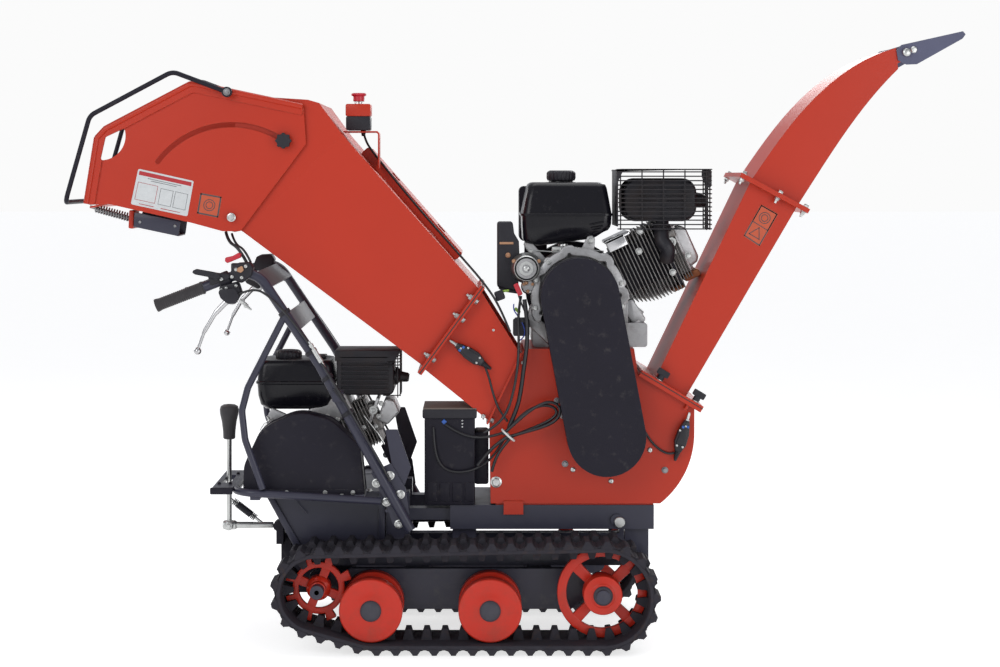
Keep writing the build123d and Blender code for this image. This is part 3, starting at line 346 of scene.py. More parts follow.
def mufflerSteel(name="mufflerSteel"):
    # heat-painted sheet: matt black turning brown where it gets hot, with rust freckles
    f = Finish(name)
    soft, corner = f.edges(0.0014)
    heat = f.noise(11, 5, 0.6).rise(0.45, 0.72)
    colour = f.mix((0.014, 0.0135, 0.018), (0.034, 0.024, 0.021), heat * 0.7)
    colour = f.mix(colour, (0.16, 0.062, 0.026), f.noise(210, 5, 0.75).rise(0.66, 0.78) * 0.5)
    colour = f.mix(colour, (0.13, 0.115, 0.10), corner * 0.35)
    return f.set(colour=colour, metal=0.2, rough=0.46 + heat * 0.16, specular=0.35,
                 normal=f.bump(f.noise(420, 4, 0.65), 0.25, 0.0006, soft))


def cableJacket(name="cableJacket", base=(0.013, 0.0125, 0.016), rough=0.42):
    # smooth jacket with scuffs and dust
    f = Finish(name)
    scuff = f.noise(150, 6, 0.75).rise(0.54, 0.74)
    colour = f.mix(base, tuple(c * 1.8 + 0.01 for c in base), scuff * 0.5)
    return f.set(colour=colour, rough=rough + scuff * 0.22, normal=f.bump(f.noise(260, 4), 0.18, 0.0004))


def gloss(name, base, rough=0.3):
    # moulded coloured plastic with faint streaks and specks
    f = Finish(name)
    soft, corner = f.edges(0.0009)
    colour = f.mix(base, tuple(c * 0.74 for c in base), f.noise(45, 5, 0.65))
    colour = f.mix(colour, tuple(min(1.0, c * 1.3 + 0.03) for c in base), corner * 0.4)
    return f.set(colour=colour, rough=rough + f.noise(120, 4) * 0.14,
                 normal=f.bump(f.noise(480, 3), 0.14, 0.0004, soft))


orange = orangePaint()
wheelOrange = orangePaint("wheelOrange", dirt=0.3, base=(0.47, 0.019, 0.0065))
bodyBlue = framePaint()
guardBlack = blackCoat("guardBlack", grain=420, depth=0.5, rough=0.5)
blackSteel = blackCoat("blackSteel", grain=1100, depth=0.22, rough=0.4)
tankBlack = glossBlack()
rubber = trackRubber()
plastic = mouldedPlastic()
handRubber = gripRubber()
alloy = castAlloy()
dirtyAlloy = castAlloy("dirtyAlloy", (0.26, 0.25, 0.245), 0.85)
zinc = plate("zinc", (0.60, 0.61, 0.60), 0.26, 0.3)
bright = plate("bright", (0.60, 0.60, 0.61), 0.16, 0.12)
tool = plate("tool", (0.30, 0.30, 0.31), 0.35, 0.5)
hot = mufflerSteel()
jacket = cableJacket(base=(0.008, 0.0078, 0.0105))
slate = blackCoat("slate", (0.066, 0.069, 0.110), 700, 0.2, 0.42)
beltRubber = cableJacket("beltRubber", (0.026, 0.025, 0.025), 0.7)
red = gloss("redPlastic", (0.50, 0.012, 0.03))
white = gloss("whitePlastic", (0.62, 0.63, 0.62), 0.35)
blue = gloss("bluePlastic", (0.02, 0.10, 0.42))
green = gloss("greenPlastic", (0.25, 0.42, 0.05))
tan = gloss("tanPlastic", (0.42, 0.22, 0.12), 0.5)

finishes = {
    orange: "infeed_chute chute_cover hopper throat rotor_housing discharge_chute elbow",
    wheelOrange: "idler_near idler_far sprocket_near sprocket_far rear_roller_near rear_roller_far "
                 "front_roller_near front_roller_far",
    bodyBlue: "chassis_frame track_frames engine_bay bumper_rail handlebar_frame trip_linkage",
    blackSteel: "drive_belt_cover battery_box stop_bar gearbox engine_shroud",
    slate: "deflector",
    guardBlack: "belt_guard",
    tankBlack: "engine_tank drive_engine_tank",
    rubber: "rubber_tracks",
    plastic: "control_box estop_box lever_mounts fuel_cap hopper_knob_near hopper_knob_far chute_knob_left "
             "chute_knob_right safety_switches throttle_lever",
    handRubber: "grips",
    alloy: "engine_block",
    dirtyAlloy: "engine_cylinder drive_engine",
    hot: "engine_muffler muffler_guard drive_engine_muffler",
    zinc: "fasteners gear_lever",
    bright: "clutch_lever_near clutch_lever_far",
    red: "rocker_switch estop_button",
    jacket: "wiring",
    beltRubber: "drive_belts",
    tool: "rotor crank_pulley rotor_bearings bed_knife",
}
for finish, names in finishes.items():
    for name in names.split():
        nodes[name].data.materials.clear()
        nodes[name].data.materials.append(finish)
print("finishes made:", len(finishes))


# Surfaces: every shape is worked out as whole arrays in millimetres of the side drawing, then put in metres

class Shape:
    def __init__(self):
        self.points, self.faces, self.count = [], [], 0

    def grid(self, surface, wrapU=False, wrapV=False):
        # surface is (rows, columns, 3); neighbouring points make quads, wrapping where asked
        rows, columns = surface.shape[:2]
        index = np.arange(rows * columns).reshape(rows, columns) + self.count
        low = index if wrapU else index[:-1]
        high = np.roll(index, -1, 0) if wrapU else index[1:]
        if not wrapV:
            quads = np.stack([low[:, :-1], low[:, 1:], high[:, 1:], high[:, :-1]], -1)
        else:
            quads = np.stack([low, np.roll(low, -1, 1), np.roll(high, -1, 1), high], -1)
        self.points.append(surface.reshape(-1, 3))
        self.faces += quads.reshape(-1, 4).tolist()
        self.count += rows * columns
        return self

    def polygon(self, points):
        self.points.append(np.asarray(points, float))
        self.faces.append(list(range(self.count, self.count + len(points))))
        self.count += len(points)
        return self

    def lathe(self, origin, axis, profile, sides=28, turn=0.0):
        # profile rows are (distance along the axis, radius); each row goes round the axis
        axis = np.asarray(axis, float) / np.linalg.norm(axis)
        across = np.cross(axis, (0.0, 1.0, 0.0) if abs(axis[1]) < 0.9 else (0.0, 0.0, 1.0))
        across /= np.linalg.norm(across)
        upright = np.cross(axis, across)
        along, radius = np.asarray(profile, float).T
        angle = np.linspace(0, 2 * pi, sides, endpoint=False) + turn
        ring = np.cos(angle)[:, None] * across + np.sin(angle)[:, None] * upright
        surface = np.asarray(origin, float) + along[:, None, None] * axis + radius[:, None, None] * ring[None]
        return self.grid(surface, wrapV=True)

    def sweep(self, path, section, ref=(0, 1, 0), closed=False):
        # section rows are (sideways, along ref); carried square to the path, ends drawn in to a point
        path = np.asarray(path, float)
        if closed:
            tangent = np.roll(path, -1, 0) - np.roll(path, 1, 0)
        else:
            tangent = np.gradient(path, axis=0)
        tangent /= np.linalg.norm(tangent, axis=1)[:, None]
        sideways = np.cross(tangent, np.asarray(ref, float))
        sideways /= np.linalg.norm(sideways, axis=1)[:, None]
        other = np.cross(sideways, tangent)
        section = np.asarray(section, float)
        ring = section[None, :, :1] * sideways[:, None] + section[None, :, 1:] * other[:, None]
        surface = path[:, None] + ring
        if not closed:
            surface = np.concatenate([np.repeat(path[:1, None], len(section), 1), surface,
                                      np.repeat(path[-1:, None], len(section), 1)])
        return self.grid(surface, wrapU=closed, wrapV=True)

    def rod(self, points, radius, bend=0.0, sides=10, ref=(0, 1, 0), closed=False):
        return self.sweep(filleted(points, bend, closed), circle(radius, sides), ref, closed)

    def slab(self, outline, yFrom, yTo, edge=1.0, steps=3):
        # an outline in the side view carried across in Y, its rims rolled over by a quarter circle of radius edge
        outline = np.asarray(outline, float)
        turn = np.linspace(0, pi / 2, steps)
        inset = edge * (1 - np.sin(turn))
        depth = edge * (1 - np.cos(turn))
        rings = [drawnIn(outline, off) for off in inset]
        ys = [yFrom + d for d in depth]
        rings += rings[::-1]
        ys += [yTo - d for d in depth[::-1]]
        surface = np.stack([np.column_stack([ring[:, 0], np.full(len(ring), y), ring[:, 1]])
                            for ring, y in zip(rings, ys)])
        self.grid(surface, wrapV=True)
        self.polygon(surface[0])
        return self.polygon(surface[-1])

    def brick(self, low, high, edge=2.0, lean=0.0, about=None, steps=3):
        # a rounded box: an outline with round corners carried across, leaning by an angle in the side view
        (x0, y0, z0), (x1, y1, z1) = low, high
        outline = rounded([(x0, z0), (x1, z0), (x1, z1), (x0, z1)], edge, steps)
        outline = leaning(outline, lean, about or ((x0 + x1) / 2, (z0 + z1) / 2))
        return self.slab(outline, y0, y1, edge * 0.6, steps)

    def hex(self, at, axis=(0, -1, 0), across=8.0, height=5.0, washer=True):
        # washer, hexagon with a turned-off crown, and a slightly domed top
        at = np.asarray(at, float)
        step = np.asarray(axis, float) / np.linalg.norm(axis)
        if washer:
            self.lathe(at - step * 0.5, axis, [(0, 0), (0, across * 1.28), (1.6, across * 1.3), (2.1, across * 1.2),
                                               (2.1, 0)], 20)
            at = at + step * 1.6
        self.lathe(at, axis, [(0, 0), (0, across), (height * 0.8, across), (height, across * 0.86),
                              (height * 1.04, across * 0.6), (height * 1.06, 0)], 6, 0.3 + at[0] * 0.37)
        return self

    def screw(self, at, axis=(0, -1, 0), radius=4.0, height=2.6):
        # a domed head with a socket in it
        self.lathe(at, axis, [(-0.4, 0), (-0.4, radius), (height * 0.45, radius), (height * 0.8, radius * 0.86),
                              (height, radius * 0.62), (height, radius * 0.36), (height * 0.45, radius * 0.34),
                              (height * 0.42, 0)], 16)
        return self

    def piece(self, name, finish, body="machine", sharp=34, replaces=()):
        mesh = bpy.data.meshes.new(name)
        points = np.concatenate(self.points)
        points = (points + (datumX, 0, 0)) / 1000
        mesh.from_pydata(points.tolist(), [], self.faces)
        cleaner = bmesh.new()
        cleaner.from_mesh(mesh)
        bmesh.ops.remove_doubles(cleaner, verts=cleaner.verts, dist=1.5e-5)
        bmesh.ops.recalc_face_normals(cleaner, faces=cleaner.faces)
        cleaner.to_mesh(mesh)
        cleaner.free()
        mesh.shade_smooth()
        mesh.set_sharp_from_angle(angle=radians(sharp))
        mesh.materials.append(finish)
        made = bpy.data.objects.new(name, mesh)
        scene.collection.objects.link(made)
        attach(made, body)
        if replaces:
            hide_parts(*replaces)
        return made


def circle(radius, sides=10):
    angle = np.linspace(0, 2 * pi, sides, endpoint=False)
    return np.column_stack([np.cos(angle) * radius, np.sin(angle) * radius])


def unit(vector):
    return vector / np.maximum(np.linalg.norm(vector, axis=-1, keepdims=True), 1e-9)


def drawnIn(outline, off):
    # each corner moves along its two sides' normals, so every side moves inwards by off
    before = unit(outline - np.roll(outline, 1, 0))
    after = unit(np.roll(outline, -1, 0) - outline)
    area = np.sum(outline[:, 0] * np.roll(outline[:, 1], -1) - np.roll(outline[:, 0], -1) * outline[:, 1])
    side = 1.0 if area > 0 else -1.0
    normalBefore = np.column_stack([-before[:, 1], before[:, 0]]) * side
    normalAfter = np.column_stack([-after[:, 1], after[:, 0]]) * side
    middle = unit(normalBefore + normalAfter)
    stretch = 1 / np.maximum(np.sum(middle * normalAfter, axis=1, keepdims=True), 0.4)
    return outline + middle * stretch * off


def rounded(points, radius, steps=5):
    # each corner of a closed outline becomes an arc that touches both sides
    points = np.asarray(points, float)
    radii = np.broadcast_to(np.asarray(radius, float), (len(points),))
    return np.concatenate([corner(points[i - 1], points[i], points[(i + 1) % len(points)], radii[i], steps)
                           for i in range(len(points))])


def corner(before, at, after, radius, steps):
    # arc of that radius between the sides at a corner, shortened where a side is too short for it
    toBefore, toAfter = before - at, after - at
    reach = min(np.linalg.norm(toBefore), np.linalg.norm(toAfter)) * 0.49
    toBefore, toAfter = unit(toBefore), unit(toAfter)
    half = np.arccos(np.clip(np.dot(toBefore, toAfter), -1, 1)) / 2
    if radius <= 0 or half > pi / 2 - 0.02:
        return at[None]
    cut = min(radius / np.tan(half), reach)
    radius = cut * np.tan(half)
    centre = at + unit(toBefore + toAfter) * (radius / np.sin(half))
    first, last = at + toBefore * cut - centre, at + toAfter * cut - centre
    share = np.linspace(0, 1, steps)[:, None]
    return centre + unit(first * (1 - share) + last * share) * radius


def filleted(points, radius, closed=False, steps=7):
    points = np.asarray(points, float)
    if closed:
        return rounded(points, radius, steps)
    middle = [corner(points[i - 1], points[i], points[i + 1], radius, steps) for i in range(1, len(points) - 1)]
    return np.concatenate([points[:1], *middle, points[-1:]])


def leaning(outline, degrees, about):
    outline = np.asarray(outline, float) - about
    c, s = cos(radians(degrees)), sin(radians(degrees))
    return np.column_stack([outline[:, 0] * c - outline[:, 1] * s, outline[:, 0] * s + outline[:, 1] * c]) + about


def helix(start, end, radius, turns, perTurn=14):
    # a coil from start to end
    start, end = np.asarray(start, float), np.asarray(end, float)
    axis = unit(end - start)
    across = unit(np.cross(axis, (0.0, 1.0, 0.0)))
    other = np.cross(axis, across)
    share = np.linspace(0, 1, int(turns * perTurn))
    angle = share * turns * 2 * pi
    return (start + share[:, None] * (end - start) + np.cos(angle)[:, None] * across * radius
            + np.sin(angle)[:, None] * other * radius)


def cable(name, points, radius, finish=jacket):
    # a smooth line over the given points, round in section
    data = bpy.data.curves.new(name, "CURVE")
    data.dimensions = "3D"
    line = data.splines.new("NURBS")
    line.points.add(len(points) - 1)
    flat = np.column_stack([(np.asarray(points, float) + (datumX, 0, 0)) / 1000, np.ones(len(points))])
    line.points.foreach_set("co", flat.ravel())
    line.order_u = 3
    line.use_endpoint_u = True
    line.resolution_u = 10
    data.bevel_depth = radius / 1000
    data.bevel_resolution = 3
    data.use_fill_caps = True
    data.materials.append(finish)
    made = bpy.data.objects.new(name, data)
    scene.collection.objects.link(made)
    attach(made, "machine")
    return made


# Main engine, drawn about its crank centre and leaning cylinder

engine = {"crank": (251, 873), "lean": 25, "fins": 15, "rim": 114, "rimLugs": (-40, -14, 16, 132, 160, 196)}


def leaned(along, across):
    # a point given along the cylinder's axis and square to it, up being positive
    c, s = cos(radians(engine["lean"])), sin(radians(engine["lean"]))
    x0, z0 = engine["crank"]
    return x0 + along * c - across * s, z0 + along * s + across * c


def leanedBox(shape, fromAlong, toAlong, fromAcross, toAcross, y0, y1, edge=2.0):
    outline = [leaned(fromAlong, fromAcross), leaned(toAlong, fromAcross), leaned(toAlong, toAcross),
               leaned(fromAlong, toAcross)]
    shape.slab(rounded(outline, edge * 1.5, 4), y0, y1, edge)


def cylinderFins():
    # thin plates square to the cylinder's axis, longer towards the head, round a plain barrel
    shape = Shape()
    for index in range(engine["fins"]):
        along = 124 + index * 9.6
        half = 66 + 20 * sin(min(1.0, index / 8) * pi / 2)
        outline = rounded([leaned(along, -half - 16), leaned(along + 2.6, -half - 16), leaned(along + 2.6, half),
                           leaned(along, half)], 1.2, 3)
        shape.slab(outline, -88 + (8 if index < 3 else 0), 88, 0.8, 2)
    shape.piece("cylinderFins", dirtyAlloy)
    core = Shape()
    leanedBox(core, 112, 262, -58, 58, -68, 68, 6)
    leanedBox(core, 252, 262, -92, 84, -84, 84, 2)
    core.piece("cylinderBarrel", blackSteel, replaces=["engine_cylinder"])
    head = Shape()
    for index in range(4):
        leanedBox(head, 266 + index * 7.4, 268.4 + index * 7.4, -84, 40 - index * 4, -80, 80, 0.8)
    leanedBox(head, 262, 292, -70, 30, -66, 66, 3)
    leanedBox(head, 258, 296, 28, 52, -74, -40, 3)
    head.piece("cylinderHead", dirtyAlloy)
    rocker = Shape()
    outline = [leaned(292, -62), leaned(318, -56), leaned(326, -44), leaned(327, 34), leaned(318, 46), leaned(292, 52)]
    rocker.slab(rounded(outline, 9, 5), -62, 62, 7, 5)
    leanedBox(rocker, 290, 295, -70, 60, -70, 70, 1.5)
    for y in (-56, 56):
        for across in (-62, 52):
            x, z = leaned(295, across)
            rocker.hex((x, y, z), (cos(radians(25)), 0, sin(radians(25))), 5, 5)
    rocker.piece("rockerCover", alloyBright)
    shield = Shape()
    leanedBox(shield, 120, 172, 62, 92, -92, -84, 1.5)
    leanedBox(shield, 120, 188, 84, 93, -92, 60, 2)
    shield.piece("coolingShield", bright)
    rust = Shape()
    leanedBox(rust, 268, 312, -92, -72, -60, 50, 4)
    leanedBox(rust, 228, 262, -104, -92, -50, 30, 3)
    rust.piece("exhaustShield", rusty)
    bolts = Shape()
    for along, across in ((190, 34), (268, -4), (246, -52), (300, -30), (214, 80)):
        x, z = leaned(along, across)
        bolts.hex((x, -88, z), (0, -1, 0), 7, 7)
    x, z = leaned(276, 20)
    bolts.lathe((x, -88, z), (0, -1, 0), [(0, 0), (0, 12), (5, 12), (5, 6), (2, 5), (2, 0)], 20)
    bolts.piece("headBolts", zinc)


def exhaustPipe():
    # a bent pipe from the head's near side up into the muffler, flattened where it meets the flange
    shape = Shape()
    x, z = leaned(262, 4)
    path = filleted([(x - 6, -84, z - 26), (x - 4, -104, z + 6), (466, -98, 1010), (468, -70, 1074)], 26, steps=9)
    shape.sweep(path, circle(19, 20), (1, 0, 0.2))
    shape.lathe((467, -84, 1040), (0, 0.5, 1), [(0, 0), (0, 26), (5, 26), (5, 0)], 24)
    shape.piece("exhaustPipe", hot)


def muffler():
    # a pressed canister with crimped ends, louvres on its near face and a spark screen on its end
    shape = Shape()
    outline = rounded([(368, 1064), (556, 1064), (556, 1168), (368, 1168)], 34, 9)
    shape.slab(outline, -100, 56, 9, 5)
    for y in (-58, 14):
        ring = rounded([(366.6, 1062.6), (557.4, 1062.6), (557.4, 1169.4), (366.6, 1169.4)], 35, 9)
        loop = np.column_stack([ring[:, 0], np.full(len(ring), y), ring[:, 1]])
        shape.sweep(loop, circle(2.4, 8), (0, 1, 0), closed=True)
    for x in (432, 500):
        for z in (1096, 1112, 1128, 1144):
            shape.slab(rounded([(x - 22, z - 3), (x + 22, z - 3), (x + 22, z + 3), (x - 22, z + 3)], 2.9, 4),
                       -102.4, -98, 2.2, 3)
    shape.lathe((553, -22, 1116), (1, 0, -0.1), [(0, 0), (0, 30), (6, 29), (8, 20), (22, 19), (24, 16), (38, 13),
                                                  (38, 10), (26, 9), (26, 0)], 28)
    shape.piece("mufflerCanister", hot, replaces=["engine_muffler"])


def wireGuard(name, low, high, rows, bars, wire, replaced):
    # a cage of level wires that bend round the corner, tied by upright wires, under a folded sheet
    (x0, y0, z0), (x1, y1, z1) = low, high
    shape = Shape()
    for level in np.linspace(z0 + wire, z1 - 8, rows):
        shape.rod([(x0, y0, level), (x1, y0, level), (x1, y1, level)], wire, 14, 6, (0, 0, 1))
    for x in np.linspace(x0 + 8, x1 - 14, bars):
        shape.rod([(x, y0 + wire * 1.4, z0 - 1), (x, y0 + wire * 1.4, z1 - 4)], wire, 0, 6, (1, 0, 0))
    for y in np.linspace(y0 + 26, y1 - 6, bars - 1):
        shape.rod([(x1 - wire * 1.4, y, z0 - 1), (x1 - wire * 1.4, y, z1 - 4)], wire, 0, 6, (1, 0, 0))
    shape.piece(name + "Wires", hot, replaces=[replaced])
    cover = Shape()
    cover.slab(rounded([(x0 - 2, z1 - 3), (x1 + 1, z1 - 3), (x1 + 1, z1), (x0 + 10, z1), (x0 - 2, z1 - 6)], 1.4, 3),
               y0 - 1, y1, 1.2)
    cover.slab(rounded([(x0 - 2, z1 - 2), (x0 + 16, z1 - 2), (x0 + 2, z1 - 32), (x0 - 2, z1 - 30)], 2, 3),
               y0 - 1, y0 + 2, 0.8)
    cover.slab(rounded([(x0 - 2, z0 + 8), (x0 + 2, z0 + 8), (x0 + 2, z1 - 2), (x0 - 2, z1 - 2)], 1, 3),
               y0, y1, 0.8)
    cover.slab(rounded([(x1 - 26, z1 - 2), (x1, z1 - 2), (x1, z1 - 46), (x1 - 14, z1 - 50), (x1 - 26, z1 - 20)],
                       5, 3), y0 + 6, y0 + 8, 0.6)
    cover.piece(name + "Cover", hot)


def shellRows(levels, sides):
    # a pressed shell's outline at each height: every side stands off by its share of that height's growth
    rows = []
    for z, grow, radius in levels:
        x0, x1, y0, y1 = (edge + share * grow for edge, share in sides)
        ring = rounded([(x0, y0), (x1, y0), (x1, y1), (x0, y1)], radius, 8)
        rows.append(np.column_stack([ring, np.full(len(ring), float(z))]))
    return np.stack(rows)


def ribbedCap(shape, x, base, profile, ribs, depth, ribbed, inset=0.0):
    # a turned cap whose wall between two heights carries flat-topped ribs
    angle = np.linspace(0, 2 * pi, ribs * 6, endpoint=False)
    rows = []
    for z, radius in profile:
        wave = depth * np.clip(np.cos(angle * ribs) * 2, -1, 1) * (1.0 if ribbed[0] < z < ribbed[1] else 0.0)
        reach = radius + wave - inset
        rows.append(np.column_stack([x + reach * np.cos(angle), reach * np.sin(angle),
                                     np.full(len(angle), float(base + z))]))
    shape.grid(np.stack(rows), wrapV=True)


def fuelTank():
    # two pressed halves about a rolled seam: rounded outlines shrink smoothly from the seam up and down
    shape = Shape()
    seam = 1078
    levels = [(1161, 0.0, 26), (1160, 7, 24), (1155, 14, 22), (1146, 18, 20), (1112, 25, 20), (seam + 3, 31, 22),
              (seam + 3, 35, 24), (seam - 3, 35, 24), (seam - 3, 31, 22), (1046, 30, 22), (1014, 28, 24),
              (1004, 22, 26), (998.5, 10, 30)]
    rows = shellRows(levels, [(139, -1), (311, 0.9), (-72, -1), (94, 1)])
    # the near lower edge rises to clear the cooling shield
    lift = np.clip((rows[..., 0] - 238) / 80, 0, 1) * np.clip((seam - 6 - rows[..., 2]) / 60, 0, 1)
    rows[..., 2] += 34 * lift ** 1.5
    shape.grid(rows, wrapV=True)
    shape.polygon(rows[0])
    shape.polygon(rows[-1])
    shape.lathe((212, 0, 1158), (0, 0, 1), [(0, 44), (3.4, 42), (3.6, 33), (7, 32), (7, 0)], 40)
    for index in range(3):
        z = 1052 - index * 11
        shape.rod([(282 + index * 5, -107.6, z), (318 - index * 2, -106, z + 8)], 1.6, 0, 6)
    shape.piece("tankShell", tankBlack, replaces=["engine_tank"])
    cap = Shape()
    profile = [(0, 31), (1, 36), (7, 37.6), (20, 37.4), (24, 35.5), (27, 30), (27, 22), (25.6, 20), (25.6, 0)]
    ribbedCap(cap, 212, 1165, profile, 24, 0.9, (1, 22), 0.4)
    cap.piece("tankCap", plastic, "fuel_cap", replaces=["fuel_cap"])


def rimLugs():
    # where the crankcase bolts stand round its rim
    x, z = engine["crank"]
    return [(x + engine["rim"] * cos(radians(degree)), z + engine["rim"] * sin(radians(degree)))
            for degree in engine["rimLugs"]]


def crankcase():
    # castings that show round the belt guard: rim ring with bolt lugs, webs, tank legs and the starter
    rim = Shape()
    ring = np.linspace(radians(-66), radians(212), 80)
    radius = 110 + 3 * np.clip(np.cos(ring * 7) * 3 - 1.8, 0, 1) * 3
    path = np.column_stack([251 + radius * np.cos(ring), np.full(80, -118), 873 + radius * np.sin(ring)])
    rim.sweep(path, [(-11, -18), (-8, -20), (8, -20), (11, -17), (11, 14), (-11, 14)], (0, 1, 0))
    for x, z in rimLugs():
        rim.lathe((x, -112, z), (0, -1, 0), [(0, 0), (0, 13), (20, 12), (21, 10), (21, 0)], 20)
    rim.slab(rounded([(360, 846), (398, 790), (430, 806), (392, 862)], 8, 5), -80, -40, 4)
    rim.lathe((398, -62, 800), (0.56, 0, -0.83), [(0, 0), (0, 22), (14, 21), (16, 19), (16, 0)], 24)
    rim.slab(rounded([(108, 1008), (136, 1004), (182, 950), (206, 938), (196, 918), (168, 930), (118, 990)], 7, 5),
             -86, -70, 3)
    rim.slab(rounded([(246, 962), (292, 962), (296, 1016), (288, 1026), (276, 1022)], 6, 5), -92, -80, 3)
    rim.slab(rounded([(118, 800), (178, 742), (200, 760), (150, 850), (128, 846)], 8, 5), -110, -70, 5)
    rim.piece("crankcaseRim", alloy)
    studs = Shape()
    for x, z in rimLugs():
        studs.hex((x, -132.5, z), (0, -1, 0), 7, 6)
    studs.hex((284, -92, 1012), (0, -1, 0), 7, 6)
    studs.hex((196, -88, 930), (0, -1, 0), 6, 6)
    studs.hex((130, -86, 984), (0, -1, 0), 5, 5)
    studs.piece("crankcaseBolts", zinc)
    plug = Shape()
    plug.lathe((406, -62, 792), (0.56, 0, -0.83), [(0, 0), (0, 19), (6, 19), (8, 17), (8, 0)], 24)
    plug.slab(rounded([(416, 772), (430, 786), (424, 792), (410, 778)], 2.5, 4), -66, -58, 1.5)
    plug.lathe((418, -62, 776), (0.83, 0, 0.56), [(0, 0), (0, 5), (12, 4), (14, 2.6), (14, 0)], 14)
    plug.piece("fillerPlug", red)


def starter():
    # the starter's zinc bell: a stepped face with rings, its solenoid below and its wires
    bell = Shape()
    bell.lathe((118, -96, 942), (0, -1, 0), [(0, 0), (0, 39), (10, 40), (14, 38), (38, 37), (46, 34), (52, 33),
                                             (54, 31), (54, 26), (52, 25), (52, 20), (54.5, 18), (54.5, 11), (52, 10),
                                             (52, 8), (57, 7), (58, 5), (58, 0)], 48)
    bell.lathe((124, -92, 894), (0, -1, 0), [(0, 0), (0, 19), (30, 19), (34, 16), (40, 15), (42, 11), (42, 0)], 32)
    bell.piece("starterBell", zinc)
    small = Shape()
    for degree in (30, 150, 270):
        x, z = 118 + 37 * cos(radians(degree)), 942 + 37 * sin(radians(degree))
        small.hex((x, -140, z), (0, -1, 0), 4, 5)
    for x, z in ((112, 902), (134, 902), (122, 884)):
        small.lathe((x, -132, z), (0, -1, 0), [(0, 0), (0, 4.4), (10, 4.4), (10, 3), (16, 3), (16, 0)], 10)
    small.piece("starterNuts", tan)


def carburettor():
    # linkage between tank and crankcase: rods, springs, a bowl and banjo fittings
    shape = Shape()
    shape.lathe((214, -60, 962), (0, 0, 1), [(0, 0), (0, 15), (4, 18), (22, 18), (24, 13), (40, 12), (40, 0)], 28)
    shape.brick((186, -74, 978), (236, -40, 996), 4)
    shape.rod([(140, -92, 986), (196, -94, 982), (246, -92, 994)], 1.8, 12, 8)
    shape.rod([(208, -96, 972), (262, -96, 990), (318, -92, 984)], 1.6, 14, 8)
    shape.sweep(helix((224, -94, 986), (262, -94, 990), 3.4, 9, 12), circle(0.9, 6), (0.3, 1, 0.2))
    shape.slab(rounded([(202, 958), (226, 958), (230, 992), (206, 992)], 3, 4), -90, -87, 0.8)
    shape.hex((216, -90, 984), (0, -1, 0), 5, 5)
    shape.hex((208, -90, 966), (0, -1, 0), 4, 4)
    shape.piece("carburettorLinkage", zinc)


def controlBoxDetail():
    # the box beside the engine: a front shell with rounded top, a bright strip and a screw
    shape = Shape()
    outline = rounded([(44, 892), (98, 880), (102, 968), (100, 1010), (88, 1030), (84, 1060), (44, 1060)], 7, 5)
    shape.slab(outline, -96, -34, 5, 4)
    shape.slab(rounded([(44, 890), (60, 880), (100, 874), (100, 886), (60, 896)], 3, 4), -92, -40, 2)
    shape.piece("controlBoxShell", plastic, replaces=["control_box"])
    strip = Shape()
    strip.slab(rounded([(50, 1002), (86, 1002), (86, 1008), (50, 1008)], 1.2, 3), -97.4, -95.6, 0.5, 2)
    strip.lathe((72, -95.6, 974), (0, -1, 0), [(0, 0), (0, 7), (3, 6), (5, 3), (5, 0)], 18)
    strip.piece("controlBoxStrip", tan)


alloyBright = castAlloy("alloyBright", (0.62, 0.62, 0.63), 0.3)
rusty = plate("rustySheet", (0.42, 0.17, 0.075), 0.55, 0.6, 0.5)
cylinderFins()
exhaustPipe()
muffler()
wireGuard("muffler", (352, -113, 1040), (594, 76, 1196), 14, 5, 1.9, "muffler_guard")
fuelTank()
crankcase()
starter()
carburettor()
controlBoxDetail()
print("main engine done")


# Drive engine behind the handlebar

drive = {"crank": (-430, 475), "lean": 25}


